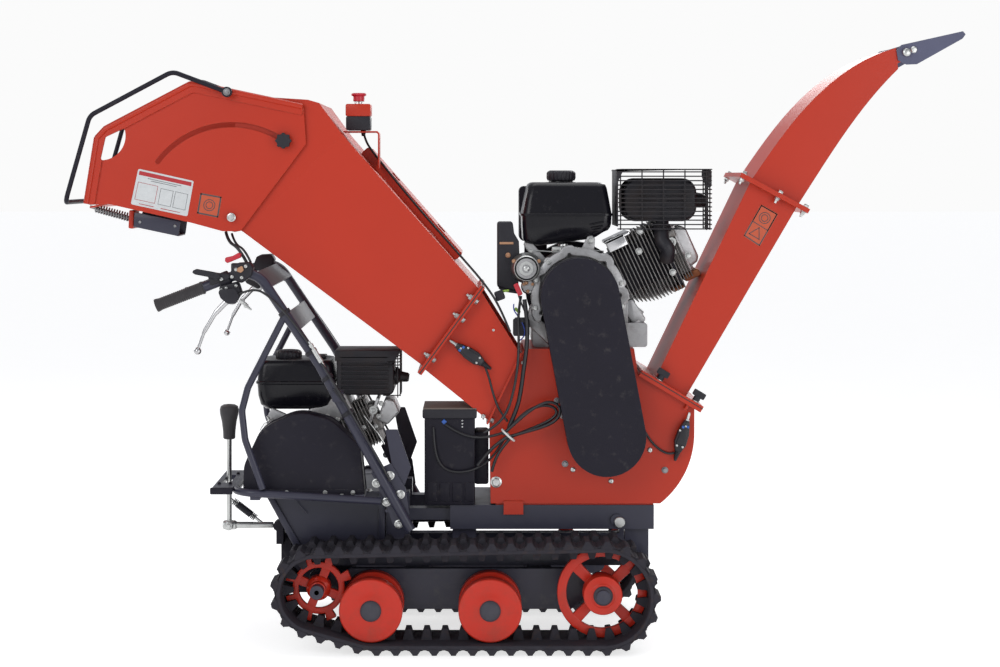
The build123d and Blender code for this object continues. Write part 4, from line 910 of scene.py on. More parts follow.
def driveEngine():
    core = Shape()
    core.lathe((-430, 96, 475), (0, -1, 0), [(0, 0), (0, 70), (10, 80), (180, 80), (200, 74), (208, 60), (208, 0)], 40)
    core.brick((-528, -84, 377), (-334, 95, 440), 8)
    core.brick((-440, -80, 540), (-330, 90, 600), 10, 25)
    core.slab(rounded([(-552, 548), (-536, 582), (-500, 566), (-470, 548), (-478, 536), (-510, 548)], 5, 4),
              -92, -78, 4)
    for x in (-505, -390):
        core.lathe((x, -60, 392), (0, -1, 0), [(0, 0), (0, 16), (26, 14), (27, 0)], 20)
    core.piece("driveCrankcase", alloy, replaces=["drive_engine"])
    fins = Shape()
    c, s = cos(radians(drive["lean"])), sin(radians(drive["lean"]))
    x0, z0 = drive["crank"]
    for index in range(11):
        along = 86 + index * 8.2
        half = 46 + 16 * sin(min(1, index / 5) * pi / 2)
        outline = [(x0 + a * c - u * s, z0 + a * s + u * c) for a, u in
                   ((along, -half), (along + 2.4, -half), (along + 2.4, half), (along, half))]
        fins.slab(rounded(outline, 1.1, 3), -66, 66, 0.7, 2)
    fins.brick((x0 + 80, -46, 500), (x0 + 172, 46, 574), 8, 25)
    fins.piece("driveFins", dirtyAlloy)
    head = Shape()
    head.slab(rounded([(-268, 545), (-246, 602), (-222, 596), (-208, 566), (-240, 532)], 8, 5), -52, 52, 6, 4)
    head.slab(rounded([(-290, 540), (-268, 604), (-260, 602), (-282, 536)], 3, 4), -60, 60, 2)
    head.piece("driveRockerCover", alloyBright)
    small = Shape()
    for x, y, z in ((-262, -62, 556), (-256, -62, 590), (-270, -62, 530), (-300, -68, 528), (-478, -94, 552),
                    (-392, -94, 560), (-366, -94, 552), (-344, -92, 548)):
        small.hex((x, y, z), (0, -1, 0), 5, 5)
    small.lathe((-276, -60, 572), (0, -1, 0), [(0, 0), (0, 11), (4, 11), (4, 6), (1, 5), (1, 0)], 20)
    small.rod([(-300, -76, 560), (-262, -78, 512), (-246, -78, 486)], 2.2, 6, 8)
    small.rod([(-548, -94, 560), (-530, -96, 536), (-560, -98, 520)], 1.8, 6, 8)
    small.rod([(-540, -94, 552), (-556, -96, 540), (-566, -98, 524)], 1.5, 4, 8)
    small.sweep(helix((-552, -97, 532), (-534, -97, 552), 3.5, 8, 12), circle(0.9, 6), (0.3, 1, 0.2))
    small.piece("driveSmallParts", zinc)


def driveTank():
    shape = Shape()
    levels = [(703, 0, 26), (701, 9, 24), (695, 14, 22), (688, 16, 20), (650, 20, 20), (648, 24, 22),
              (643, 24, 22), (641, 20, 20), (612, 18, 22), (588, 12, 26), (577, 0, 30)]
    rows = shellRows(levels, [(-556, -0.9), (-392, 0.8), (-77, -0.75), (68, 0.75)])
    shape.grid(rows, wrapV=True)
    shape.polygon(rows[0]).polygon(rows[-1])
    shape.piece("driveTankShell", tankBlack)
    cap = Shape()
    profile = [(0, 28), (3, 33), (8, 34), (17, 33.6), (21, 31), (23, 26), (23, 16), (21.6, 15), (21.6, 0)]
    ribbedCap(cap, -500, 700, profile, 20, 0.8, (2, 18))
    cap.slab(rounded([(-444, 703), (-400, 703), (-400, 712), (-444, 712)], 3, 4), -40, 10, 2)
    cap.piece("driveTankCap", plastic, replaces=["drive_engine_tank"])


def driveMuffler():
    shape = Shape()
    shape.slab(rounded([(-370, 612), (-222, 612), (-222, 722), (-370, 722)], 14, 6), -74, 56, 6, 4)
    for index in range(8):
        z = 626 + index * 12
        shape.slab(rounded([(-362, z - 3), (-236, z - 3), (-236, z + 3), (-362, z + 3)], 2.8, 4), -80, -72, 2, 3)
    shape.slab(rounded([(-374, 700), (-220, 700), (-206, 722), (-206, 728), (-374, 728)], 3, 4), -80, 60, 2)
    shape.slab(rounded([(-368, 610), (-358, 610), (-358, 700), (-368, 700)], 2, 3), -79.5, -72, 1)
    shape.lathe((-222, -30, 658), (1, 0, -0.12), [(0, 0), (0, 24), (8, 23), (16, 14), (34, 12), (38, 9), (38, 0)], 26)
    shape.piece("driveMufflerBody", hot, replaces=["drive_engine_muffler"])
    wires = Shape()
    for z in (612, 690, 698, 706, 714, 722):
        wires.rod([(-250, -78, z), (-207, -78, z), (-207, 54, z)], 1.6, 8, 6, (0, 0, 1))
    wires.rod([(-212, -77, 606), (-212, -77, 724)], 1.6, 0, 6, (1, 0, 0))
    for y in (-40, 10, 50):
        wires.rod([(-207, y, 606), (-207, y, 724)], 1.6, 0, 6, (1, 0, 0))
    wires.piece("driveMufflerWires", hot)


def beltCover():
    # pressed cover: one smooth hump, a bead round its rim and a flange with screws
    shape = Shape()
    hump = rounded([(-594, 387), (-592, 452), (-548, 545), (-455, 588), (-372, 566), (-300, 500), (-289, 387)],
                   [2, 60, 90, 90, 60, 26, 2], 12)
    shape.slab(hump, -225, -172, 3.5, 4)
    path = np.column_stack([hump[:, 0], np.full(len(hump), -173.5), hump[:, 1]])
    shape.sweep(path, circle(2.6, 8), (0, 1, 0), closed=True)
    shape.slab(rounded([(-593, 377), (-290, 377), (-290, 392), (-593, 392)], 2, 3), -228, -152, 1.2)
    shape.piece("driveCoverShell", blackSteel, replaces=["drive_belt_cover"])
    screws = Shape()
    for x in (-572, -484, -388, -318):
        screws.hex((x, -228, 385), (0, -1, 0), 4.4, 4)
    for x in (-540, -430, -345):
        screws.hex((x, -240, 378), (0, 0, 1), 5, 4)
    screws.piece("driveCoverScrews", zinc)


def engineTray():
    shape = Shape()
    for x, z in ((-548, 366), (-300, 366), (-262, 350)):
        shape.hex((x, -141, z), (0, -1, 0), 5, 4)
    for x in (-520, -440, -360, -280):
        shape.hex((x, -146, 376), (0, 0, 1), 5, 4)
    shape.piece("trayBolts", zinc)
    stiff = Shape()
    stiff.slab(rounded([(-548, 372), (-532, 372), (-452, 232), (-468, 226)], 3, 4), -150, -138, 1.2)
    stiff.slab(rounded([(-258, 240), (-242, 240), (-242, 372), (-258, 372)], 3, 4), -146, -138, 1.2)
    stiff.rod([(-482, -150, 372), (-462, -150, 346), (-438, -150, 318)], 1.2, 0, 8)
    stiff.piece("trayStiffeners", bodyBlue)


driveEngine()
driveTank()
driveMuffler()
beltCover()
engineTray()
print("drive engine done")


# Handlebar, grips, levers and their fittings

bar = {"y": 265, "bracketHoles": ((-258, 413), (-224, 432), (-233, 366), (-198, 385), (-202, 311))}


def grips():
    # rubber sleeve with fine ribs, a flared outer end and a collar at the inner end
    start, end = np.array((-805.0, 855.1)), np.array((-687.0, 900.5))
    axis = (end - start) / np.linalg.norm(end - start)
    length = np.linalg.norm(end - start)
    shape = Shape()
    along = np.linspace(0, length, 150)
    fade = np.clip((along - 8) / 8, 0, 1) * np.clip((length - 8 - along) / 6, 0, 1)
    ribs = 0.55 * np.cos(along * 2 * pi / 5.2) * fade
    radius = 15.2 + 1.6 * np.exp(-((along - 3) / 6) ** 2) + 1.3 * np.exp(-((along - length + 3) / 4) ** 2) + ribs
    profile = np.column_stack([along, radius])
    profile = np.vstack([[(-1.5, 0), (-1.5, 9), (0, 14)], profile, [(length + 1, 12.7), (length + 1, 0)]])
    for y in (-bar["y"], bar["y"]):
        shape.lathe((start[0], y, start[1]), (axis[0], 0, axis[1]), profile, 36)
    shape.piece("gripSleeves", handRubber, replaces=["grips"])


def clutchLever(name, y, body):
    # a forged blade: wide and flat near its pivot, thinning to a round neck and a ball
    path = filleted([(-604, y, 877), (-626, y, 868), (-655, y, 838), (-682, y, 792), (-697, y, 750)], 46, steps=12)
    share = np.linspace(0, 1, len(path))
    shape = Shape()
    wide = 8.4 - 4.6 * share
    sectionAngle = np.linspace(0, 2 * pi, 16, endpoint=False)
    tangent = unit(np.gradient(path, axis=0))
    sideways = unit(np.cross(tangent, (0.0, 1.0, 0.0)))
    ring = (np.cos(sectionAngle)[None, :, None] * sideways[:, None] * wide[:, None, None]
            + np.sin(sectionAngle)[None, :, None] * np.array((0.0, 1.0, 0.0)) * 3.4)
    surface = path[:, None] + ring
    surface = np.concatenate([np.repeat(path[:1, None], 16, 1), surface, np.repeat(path[-1:, None], 16, 1)])
    shape.grid(surface, wrapV=True)
    shape.lathe((-698, y, 745), (-0.3, 0, -1), [(9.4 * -cos(a), 9.4 * sin(a)) for a in np.linspace(0, pi, 14)], 22)
    side = -1 if y < 0 else 1
    shape.lathe((-612, y - side * 5, 872), (0, side, 0), [(0, 0), (0, 11), (1, 13), (9, 13), (10, 11), (10, 0)], 26)
    shape.piece(name + "Blade", bright, body, replaces=[name])


def leverPerches():
    # clamp round the tube, the lever's fork, and the switch housing with its screws
    perch = Shape()
    fork = rounded([(-648, 898), (-604, 900), (-594, 880), (-602, 862), (-622, 862), (-640, 876)], 8, 5)
    clampBlock = rounded([(-650, 904), (-600, 916), (-590, 886), (-606, 866), (-640, 884)], 8, 5)
    for y in (-bar["y"], bar["y"]):
        perch.lathe((-648, y, 915.4), (0.933, 0, 0.359), [(0, 0), (0, 17), (2, 19), (26, 19), (28, 17), (28, 0)], 28)
        if y < 0:
            for outer in (y - 16, y - 42):
                perch.slab(fork, outer, outer + 4, 1.4)
        perch.slab(clampBlock, y - 21, y + 21, 5)
    perch.piece("leverPerch", plastic, replaces=["lever_mounts"])
    box = Shape()
    for y in (-bar["y"], bar["y"]):
        box.slab(rounded([(-624, 924), (-612, 956), (-600, 962), (-570, 964), (-562, 950), (-566, 930), (-590, 912)],
                         7, 5), y - 21.6, y + 21.6, 5, 4)
    box.slab(rounded([(-618, 942), (-598, 942), (-598, 961), (-618, 961)], 3, 4), -274, -256, 2)
    box.slab(rounded([(-668, 904), (-622, 922), (-618, 934), (-664, 940), (-674, 930)], 6, 5), -287.5, -279, 3, 4)
    box.piece("switchHousings", plastic)
    screws = Shape()
    for x, z in ((-640, 922), (-614, 928), (-604, 946), (-580, 954), (-590, 926)):
        screws.screw((x, -287, z), (0, -1, 0), 4.6, 3)
    for x, z in ((-622, 882), (-604, 906), (-640, 896)):
        screws.screw((x, -286.5, z), (0, -1, 0), 4, 3)
    for x, z in ((-628, 900), (-616, 880)):
        screws.hex((x, -287, z), (0, -1, 0), 4.4, 4, False)
    # cable adjusters with knurled nuts
    for x, z in ((-594, 872), (-586, 862)):
        screws.lathe((x, -291, z), (0.8, 0, -0.6), [(0, 0), (0, 3.4), (6, 3.4), (6, 6), (12, 6), (12, 3.6), (20, 3.4),
                                                    (20, 2.4), (26, 2.4), (26, 0)], 14)
    screws.piece("leverScrews", zinc)
    clip = Shape()
    clip.slab(rounded([(-600, 950), (-588, 956), (-584, 944), (-592, 938), (-602, 942)], 3, 5), -292, -288, 1.4)
    clip.piece("cableClip", tan)


def throttleLever():
    shape = Shape()
    outline = rounded([(-708, 945), (-700, 948), (-655, 940), (-642, 934), (-640, 924), (-652, 920), (-662, 926),
                       (-704, 934), (-712, 939)], [5, 4, 6, 6, 5, 6, 4, 4, 4], 5)
    shape.slab(outline, -298, -289.5, 2.5, 4)
    shape.lathe((-650, -298, 931), (0, -1, 0), [(0, 0), (0, 7), (1.6, 6.4), (2.4, 0)], 20)
    shape.piece("throttlePaddle", plastic, "throttle_lever", replaces=["throttle_lever"])


def rocker():
    # a rocker with two crowned halves
    shape = Shape()
    outline = rounded([(-632, 975), (-614, 979), (-600, 987), (-594, 984), (-594, 975), (-610, 968), (-627, 961),
                       (-633, 966)], [3, 8, 3, 2, 3, 3, 3, 3], 5)
    shape.slab(outline, -277.5, -252.5, 2.4, 4)
    shape.piece("rockerCap", red, "rocker_switch", replaces=["rocker_switch"])


def barFittings():
    shape = Shape()
    # bands and cable guides on the tube, and its bracket bolts
    for x, z in ((-486, 838), (-380, 676), (-330, 588), (-420, 740)):
        shape.lathe((x, -265, z), (0.558, 0, -0.83), [(-5, 12.4), (-5, 15), (-3, 16), (3, 16), (5, 15), (5, 12.4)], 24)
    shape.piece("tubeBands", plastic)
    adjust = Shape()
    adjust.lathe((-424, -285, 768), (0.52, 0, -0.85),
                 [(0, 0), (0, 3.2), (8, 3.2), (8, 5.5), (16, 5.5), (16, 4), (22, 4), (22, 6.2), (60, 6.2), (62, 4),
                  (76, 3), (76, 0)], 16)
    adjust.piece("cableAdjuster", zinc)
    lever = Shape()
    lever.slab(rounded([(-366, 650), (-340, 618), (-330, 622), (-352, 656)], 4, 4), -292, -286, 2)
    lever.piece("tubeClip", plastic)
    hardware = Shape()
    for x, z in bar["bracketHoles"]:
        hardware.hex((x, -258, z), (0, -1, 0), 8.6, 6)
        hardware.lathe((x, -265, z), (0, -1, 0), [(0, 0), (0, 5), (5, 5), (6, 4), (6, 0)], 14)
    hardware.piece("bracketBolts", zinc)


def gearLever():
    # turned knob with a soft grip, bright rod, swivel end and a spring strut
    knob = Shape()
    knob.lathe((-643.5, -100, 503), (0, 0, 1), [(0, 0), (0, 13), (3, 15.5), (20, 16), (45, 19), (64, 23.4), (76, 24.4),
                                                (84, 22), (88, 15), (88.6, 8), (86.8, 7), (86.8, 0)], 40)
    knob.piece("gearKnob", handRubber, "gear_lever")
    rod = Shape()
    rod.lathe((-643.5, -100, 270), (0, 0, 1), [(0, 0), (0, 6), (2, 6.5), (231, 6.5), (234, 8), (240, 8), (240, 0)], 20)
    rod.lathe((-660, -100, 282), (1, 0, 0), [(0, 0), (0, 8), (2, 11), (6, 12), (30, 12), (34, 11), (36, 8.4), (127, 8),
                                             (129.6, 7), (129.6, 0)], 26)
    rod.lathe((-643.5, -117, 282), (0, 1, 0), [(0, 0), (0, 10), (2, 12), (32, 12), (34, 10), (34, 0)], 26)
    rod.hex((-643.5, -117, 282), (0, -1, 0), 7, 5)
    rod.rod([(-643.5, -100, 352), (-560, -100, 288)], 3.6, 0, 12)
    rod.piece("gearRod", zinc, "gear_lever", replaces=["gear_lever"])
    strut = Shape()
    strut.lathe((-622, -100, 335.5), (0.79, 0, -0.61), [(0, 0), (0, 7.4), (2, 8.6), (42, 8.6), (44, 7.4), (44, 0)], 22)
    strut.sweep(helix((-632, -100, 343.2), (-576, -100, 300.3), 8.6, 16, 12), circle(1.2, 6), (0.3, 1, 0.3))
    strut.piece("gearStrut", plastic, "gear_lever")
    gate = Shape()
    gate.slab(rounded([(-672, 385), (-616, 385), (-616, 402), (-672, 402)], 3, 4), -262, -256, 2)
    for x, y in ((-658, -190), (-630, -190), (-658, -20), (-630, -20)):
        gate.hex((x, y, 401), (0, 0, 1), 4, 3)
    gate.piece("gateTrim", blackSteel)


grips()
clutchLever("clutch_lever_near", -294, "clutch_lever_near")
clutchLever("clutch_lever_far", 294, "clutch_lever_far")
leverPerches()
throttleLever()
rocker()
barFittings()
gearLever()
print("controls done")

# Cables, each over the same route as its plain solid

routes = {
    "trunk": (5.5, [(112, -183, 866), (120, -185, 812), (119, -186, 752), (110, -187, 690), (104, -186, 640),
                    (94, -184, 590), (72, -184, 540)]),
    "starterLead": (3.5, [(104, -156, 872), (96, -174, 830), (98, -192, 770), (96, -198, 704), (86, -198, 640),
                          (70, -197, 585), (42, -196, 548), (10, -190, 530)]),
    "upperLead": (3.0, [(-300, -86, 1294), (-296, -86, 1268), (-270, -87, 1232), (-206, -96, 1152),
                        (-124, -112, 1056), (-48, -134, 972), (12, -156, 904), (50, -174, 848), (76, -184, 784)]),
    "throatLead": (3.0, [(11, -173, 700), (22, -178, 672), (32, -178, 630), (48, -176, 584), (70, -172, 556)]),
    "outletLead": (3.0, [(508, -163, 484), (497, -157, 474), (472, -154, 472), (444, -153.6, 492),
                         (424, -153.6, 518), (412, -153.4, 542)]),
    "batteryLead": (3.5, [(69.5, -184, 533), (40, -182, 522), (-4, -176, 514), (-52, -170, 524), (-88, -164, 548)]),
    "batteryLoop": (3.0, [(-118, -163, 540), (-116, -167, 480), (-96, -168, 436), (-52, -168, 424),
                          (0, -170, 438), (40, -174, 474), (62, -178, 514)]),
    "hopperLead": (4.0, [(-640, -196, 1036), (-632, -216, 1012), (-602, -240, 998), (-582, -248, 962)]),
    "hopperLeadThin": (3.0, [(-626, -190, 1032), (-616, -208, 1006), (-588, -236, 994), (-571, -256, 963)]),
    "loopOuter": (4.0, [(62, -194, 530), (100, -199, 566), (138, -200, 596), (176, -201, 612), (204, -200, 596),
                        (198, -200, 566), (166, -199, 548), (120, -197, 534), (72, -192, 520)]),
    "loopInner": (4.0, [(58, -187, 524), (90, -190, 560), (128, -192, 592), (170, -193, 602), (196, -192, 588),
                        (188, -191, 568), (150, -190, 548), (104, -189, 530), (66, -186, 514)]),
    "bundleLow": (4.5, [(72, -190, 522), (40, -188, 500), (16, -184, 474), (-6, -178, 446)]),
    "bundleLower": (4.0, [(80, -186, 520), (56, -184, 492), (38, -180, 462), (30, -174, 430)]),
    "connectorLead": (2.2, [(92, -160, 905), (96, -166, 880), (104, -172, 856), (112, -176, 838)]),
    "earthLead": (1.6, [(86, -152, 852), (84, -160, 840), (92, -166, 828), (104, -172, 812), (114, -174, 790),
                        (112, -174, 768), (96, -172, 758)]),
}
clutchRoute = [(-600, 291, 884), (-560, 293, 902), (-520, 290, 880), (-466, 286, 822), (-404, 283, 734),
               (-346, 296, 640), (-300, 288, 560), (-250, 283, 474), (-222, 272, 420)]
blueWire = cableJacket("blueWire", (0.02, 0.05, 0.30))
for cordName, (cordRadius, route) in routes.items():
    cable(cordName, route, cordRadius, blueWire if cordName == "earthLead" else jacket)
for sideName, side in (("Near", -1), ("Far", 1)):
    line = cable("clutchCable" + sideName, [(x, y * side, z) for x, y, z in clutchRoute], 3.0)
    if side < 0:
        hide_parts("wiring")

tie = Shape()
for x, z in ((68, 527), (74, 521)):
    tie.lathe((x, -190, z), (0.66, 0, 0.75), [(-2.2, 17), (-2.2, 18.5), (2.2, 18.5), (2.2, 17), (-2.2, 17)], 28)
tie.piece("cableTie", white)
plugs = Shape()
plugs.brick((90, -172, 874), (103, -160, 906), 3, 24)
plugs.piece("startPlug", red)
pins = Shape()
pins.brick((52, -150, 882), (74, -144, 888), 2, 8)
pins.brick((86, -158, 832), (104, -152, 840), 2, -42)
pins.piece("earthTags", green)
relay = Shape()
relay.brick((84, -170, 772), (126, -132, 814), 4)
relay.brick((88, -174, 806), (122, -130, 817), 3)
relay.brick((38, -160, 862), (62, -138, 886), 4, 20)
relay.piece("relayBox", plastic)
print("cables made")

# Safety switches: a tapered body, a pin at one end and a ribbed relief at the other

switchScale = 0.88
switchBlack = mouldedPlastic("switchBlack", (0.0095, 0.009, 0.012), 0.34, 1100)


def safetySwitch(name, x, z, y, angle, mirror=1, replaces=()):
    # the body's outline is drawn along its own axis and then turned
    def place(points):
        c, s = cos(radians(angle)), sin(radians(angle))
        points = np.asarray(points, float) * (switchScale, switchScale * mirror)
        return np.column_stack([x + points[:, 0] * c - points[:, 1] * s, z + points[:, 0] * s + points[:, 1] * c])

    body = Shape()
    outline = rounded([(-46, -7), (-30, -12), (-6, -17), (26, -17), (38, -11), (46, -9), (46, 9), (38, 13),
                       (20, 19), (-8, 17), (-30, 12), (-46, 7)], 3, 3)
    body.slab(place(outline), y - 24, y, 3.5)
    body.slab(place(rounded([(-30, -8), (26, -11), (26, 13), (-28, 9)], 3, 3)), y - 26, y - 22, 1.2)
    axis = np.array([cos(radians(angle)), 0, sin(radians(angle))])
    start = np.array([x, y - 12, z]) + axis * 38
    ribs = [(0, 0), (0, 9)]
    for rib in range(6):
        ribs += [(2 + rib * 4, 8.6 - rib * 0.75), (4.4 + rib * 4, 8.6 - rib * 0.75), (4.6 + rib * 4, 6.6 - rib * 0.6),
                 (5.6 + rib * 4, 6.4 - rib * 0.6)]
    body.lathe(start, axis, ribs + [(28, 4), (28, 0)], 20)
    body.piece(name + "Body", switchBlack, replaces=replaces)
    metal = Shape()
    metal.lathe(np.array([x, y - 12, z]) - axis * 38, -axis, [(0, 0), (0, 6), (5, 6), (5, 4), (20, 4), (24, 2.5),
                                                               (24, 0)], 18)
    for along, up in ((-30, 0), (30, 9), (30, -8), (-14, 13)):
        spotAt = place([(along, up)])[0]
        metal.screw((spotAt[0], y - 24, spotAt[1]), (0, -1, 0), 3.2, 2.0)
    metal.piece(name + "Metal", zinc)
    dots = Shape()
    for along, up in ((-26, 7), (-30, -6)):
        spotAt = place([(along, up)])[0]
        dots.brick((spotAt[0] - 3, y - 26.5, spotAt[1] - 3), (spotAt[0] + 3, y - 23, spotAt[1] + 3), 0.6, angle)
    dots.piece(name + "Marks", blue)


safetySwitch("inletSwitch", -26.5, 727, -163, -35, 1, ("safety_switches",))
safetySwitch("outletSwitch", 513, 519, -153, -107, -1)
print("switches made")


# Labels: generic plates, each with bands, boxes or rings and no lettering, a little proud of the sheet behind

labelWhite = gloss("labelWhite", (0.58, 0.60, 0.61), 0.32)
labelRed = gloss("labelRed", (0.42, 0.012, 0.018), 0.34)
labelDark = gloss("labelDark", (0.05, 0.05, 0.06), 0.34)
labelAmber = gloss("labelAmber", (0.50, 0.075, 0.022), 0.34)
labelGrey = gloss("labelGrey", (0.16, 0.17, 0.18), 0.36)


def label(name, corners, y, finish, thick, curve, body):
    plateShape = Shape()
    plateShape.slab(rounded(corners, curve, 3), y - thick, y + 0.2, 0.2, 2)
    plateShape.piece(name, finish, body)


def within(corners, u0, u1, v0, v1):
    # a smaller four-sided patch by shares along the plate's length and height
    a, b, c, d = (np.array(point, float) for point in corners)

    def at(u, v):
        return (a * (1 - u) + b * u) * (1 - v) + (d * (1 - u) + c * u) * v
    return [at(u0, v0), at(u1, v0), at(u1, v1), at(u0, v1)]


hopperPlate = [(-856, 1196), (-717, 1165), (-733, 1076), (-875, 1107)]
squarePlate = [(-701, 1136), (-646, 1126), (-655, 1072), (-710, 1083)]
outletPlate = [(716, 1106), (760, 1081), (712, 997), (670, 1025)]


def lineBox(name, corners, y, finish, wide, body):
    # four thin bars round a patch, mitred by their rounded ends
    frameShape = Shape()
    for first, second in zip(corners, corners[1:] + corners[:1]):
        first, second = np.asarray(first, float), np.asarray(second, float)
        along = unit(second - first)
        out = np.array([-along[1], along[0]]) * wide / 2
        first, second = first - along * wide / 2, second + along * wide / 2
        frameShape.slab(np.array([first - out, second - out, second + out, first + out]), y - 0.25, y + 0.2, 0.08, 2)
    frameShape.piece(name, finish, body)


label("hopperLabel", hopperPlate, -225, labelWhite, 0.7, 4, "hopper")
label("hopperLabelBand", within(hopperPlate, 0.03, 0.97, 0.05, 0.16), -225.7, labelRed, 0.3, 0.6, "hopper")
for row, (u0, u1, v0) in enumerate(((0.20, 0.80, 0.20), (0.26, 0.72, 0.25), (0.14, 0.40, 0.93), (0.52, 0.86, 0.93))):
    label("hopperLabelLine" + str(row), within(hopperPlate, u0, u1, v0, v0 + 0.018), -225.7,
          labelGrey if row < 2 else labelRed, 0.25, 0.2, "hopper")
cells = [(0.05, 0.40, 0.36, 0.84), (0.46, 0.68, 0.40, 0.84), (0.72, 0.94, 0.40, 0.84)]
for cell, (u0, u1, v0, v1) in enumerate(cells):
    lineBox("hopperLabelCell" + str(cell), within(hopperPlate, u0, u1, v0, v1), -225.8,
            labelRed if cell == 0 else labelGrey, 1.0, "hopper")
label("squareLabel", squarePlate, -225, labelAmber, 0.6, 3, "hopper")
lineBox("squareLabelFrame", within(squarePlate, 0.05, 0.95, 0.05, 0.95), -225.6, labelDark, 3.6, "hopper")
label("outletLabel", outletPlate, -140, labelAmber, 0.6, 3, "discharge")
lineBox("outletLabelFrame", within(outletPlate, 0.05, 0.95, 0.03, 0.97), -140.6, labelDark, 3.0, "discharge")
lineBox("outletLabelSplit", within(outletPlate, 0.05, 0.95, 0.03, 0.52), -140.6, labelDark, 2.0, "discharge")
marks = [("squareLabelRing", squarePlate, -225.6, "hopper", 0.5),
         ("outletLabelRing", outletPlate, -140.6, "discharge", 0.28)]
for markName, patch, y, body, share in marks:
    centre = within(patch, 0.5, 0.5, share, share)[0]
    ring = Shape()
    angle = np.linspace(0, 2 * pi, 36, endpoint=False)
    for radius in (14, 8.5):
        path = np.column_stack([centre[0] + radius * np.cos(angle), np.full(36, y - 0.1),
                                centre[1] + radius * np.sin(angle)])
        ring.sweep(path, rounded([(-0.9, -0.25), (0.9, -0.25), (0.9, 0.25), (-0.9, 0.25)], 0.1, 2), (0, 1, 0), True)
    ring.piece(markName, labelDark, body)
centre = within(outletPlate, 0.5, 0.5, 0.76, 0.76)[0]
triangle = [(centre[0] + 17 * cos(radians(a)), centre[1] + 17 * sin(radians(a))) for a in (60, 180, 300)]
lineBox("outletLabelTriangle", triangle, -140.6, labelDark, 2.0, "discharge")
print("labels made")

# Battery box with its lid, mark and lamps

# painted reflection: the tan colour of the lid's top plate stands in for the light its upward face reflects; the lid
# itself is black
lidTopReflection = gloss("lidTopReflection", (0.20, 0.165, 0.145), 0.55)
lid = Shape()
lid.brick((-145, -163, 584), (-9, 10, 588), 1.5)
lid.piece("batteryLidTop", lidTopReflection)
rimLid = Shape()
rimLid.brick((-146, -165, 562), (-8, 12, 586.5), 5)
rimLid.piece("batteryLid", plastic)
box = Shape()
box.brick((-141, -160, 342), (-13, 2, 564), 6)
box.brick((-14, -126, 390), (22, -26, 524), 6)
for groove in range(4):
    box.brick((-134 + groove * 32, -162, 352), (-110 + groove * 32, -158, 400), 3)
box.piece("batteryCase", blackSteel, replaces=("battery_box",))
dot = Shape()
dot.brick((-96, -162.5, 549), (-86, -159.5, 559), 0.8, 45)
dot.piece("batteryMark", blue)
lamps = Shape()
for z in (541, 549, 557):
    lamps.screw((-45, -160, z), (0, -1, 0), 2.4, 1.6)
lamps.piece("batteryLamps", bright)
print("battery box made")

# Tracks

beltSize = {"y": 250.0, "width": 180.0, "thick": 11.0, "gap": 1.5, "lug": 16.0, "foot": 27.0, "crest": 12.0,
            "guide": 27.0, "lugs": 45}
wheelsAt = {"sprocket": (-402.0, 152.0, 86.0), "rear_roller": (-269.0, 107.0, 78.5),
            "front_roller": (25.0, 107.0, 78.5), "idler": (304.0, 140.5, 112.0)}


def beltLine(grow, count):
    # hull round the wheels: for each heading the wheel that reaches furthest gives the point; evenly spaced
    heading = np.linspace(0, 2 * pi, 1441)[:-1]
    normal = np.column_stack([np.cos(heading), np.sin(heading)])
    wheels = np.array(list(wheelsAt.values()))
    reach = normal @ wheels[:, :2].T + wheels[:, 2]
    best = wheels[np.argmax(reach, axis=1)]
    line = best[:, :2] + normal * (best[:, 2:] + grow)
    line = np.concatenate([line, line[:1]])
    along = np.concatenate([[0], np.cumsum(np.linalg.norm(np.diff(line, axis=0), axis=1))])
    at = np.linspace(0, along[-1], count, endpoint=False)
    spaced = np.column_stack([np.interp(at, along, line[:, i]) for i in range(2)])
    tangent = unit(np.roll(spaced, -1, 0) - np.roll(spaced, 1, 0))
    return spaced, tangent, np.column_stack([tangent[:, 1], -tangent[:, 0]])


def lugs(shape, at, tangent, normal, y0, y1, foot, crest, rise, taper):
    # tapered blocks: five rings from foot to crest, narrower each way as they rise, corners cut on the crest
    level = np.array([-0.12, 0.15, 0.80, 0.96, 1.0])
    lengths = np.array([foot * 1.06, foot, crest * 1.12, crest, crest * 0.7]) / 2
    pulled = np.array([0, 0, taper, taper + 1.5, taper + 3.5])
    for base, ahead, out in zip(at, tangent, normal):
        rings = []
        for share, half, pull in zip(level, lengths, pulled):
            middle = base + out * rise * share
            ends = [middle - ahead * half, middle + ahead * half]
            rings.append([(ends[0][0], y0 + pull, ends[0][1]), (ends[1][0], y0 + pull, ends[1][1]),
                          (ends[1][0], y1 - pull, ends[1][1]), (ends[0][0], y1 - pull, ends[0][1])])
        rings = np.array(rings)
        shape.grid(rings, wrapV=True)
        shape.polygon(rings[-1])


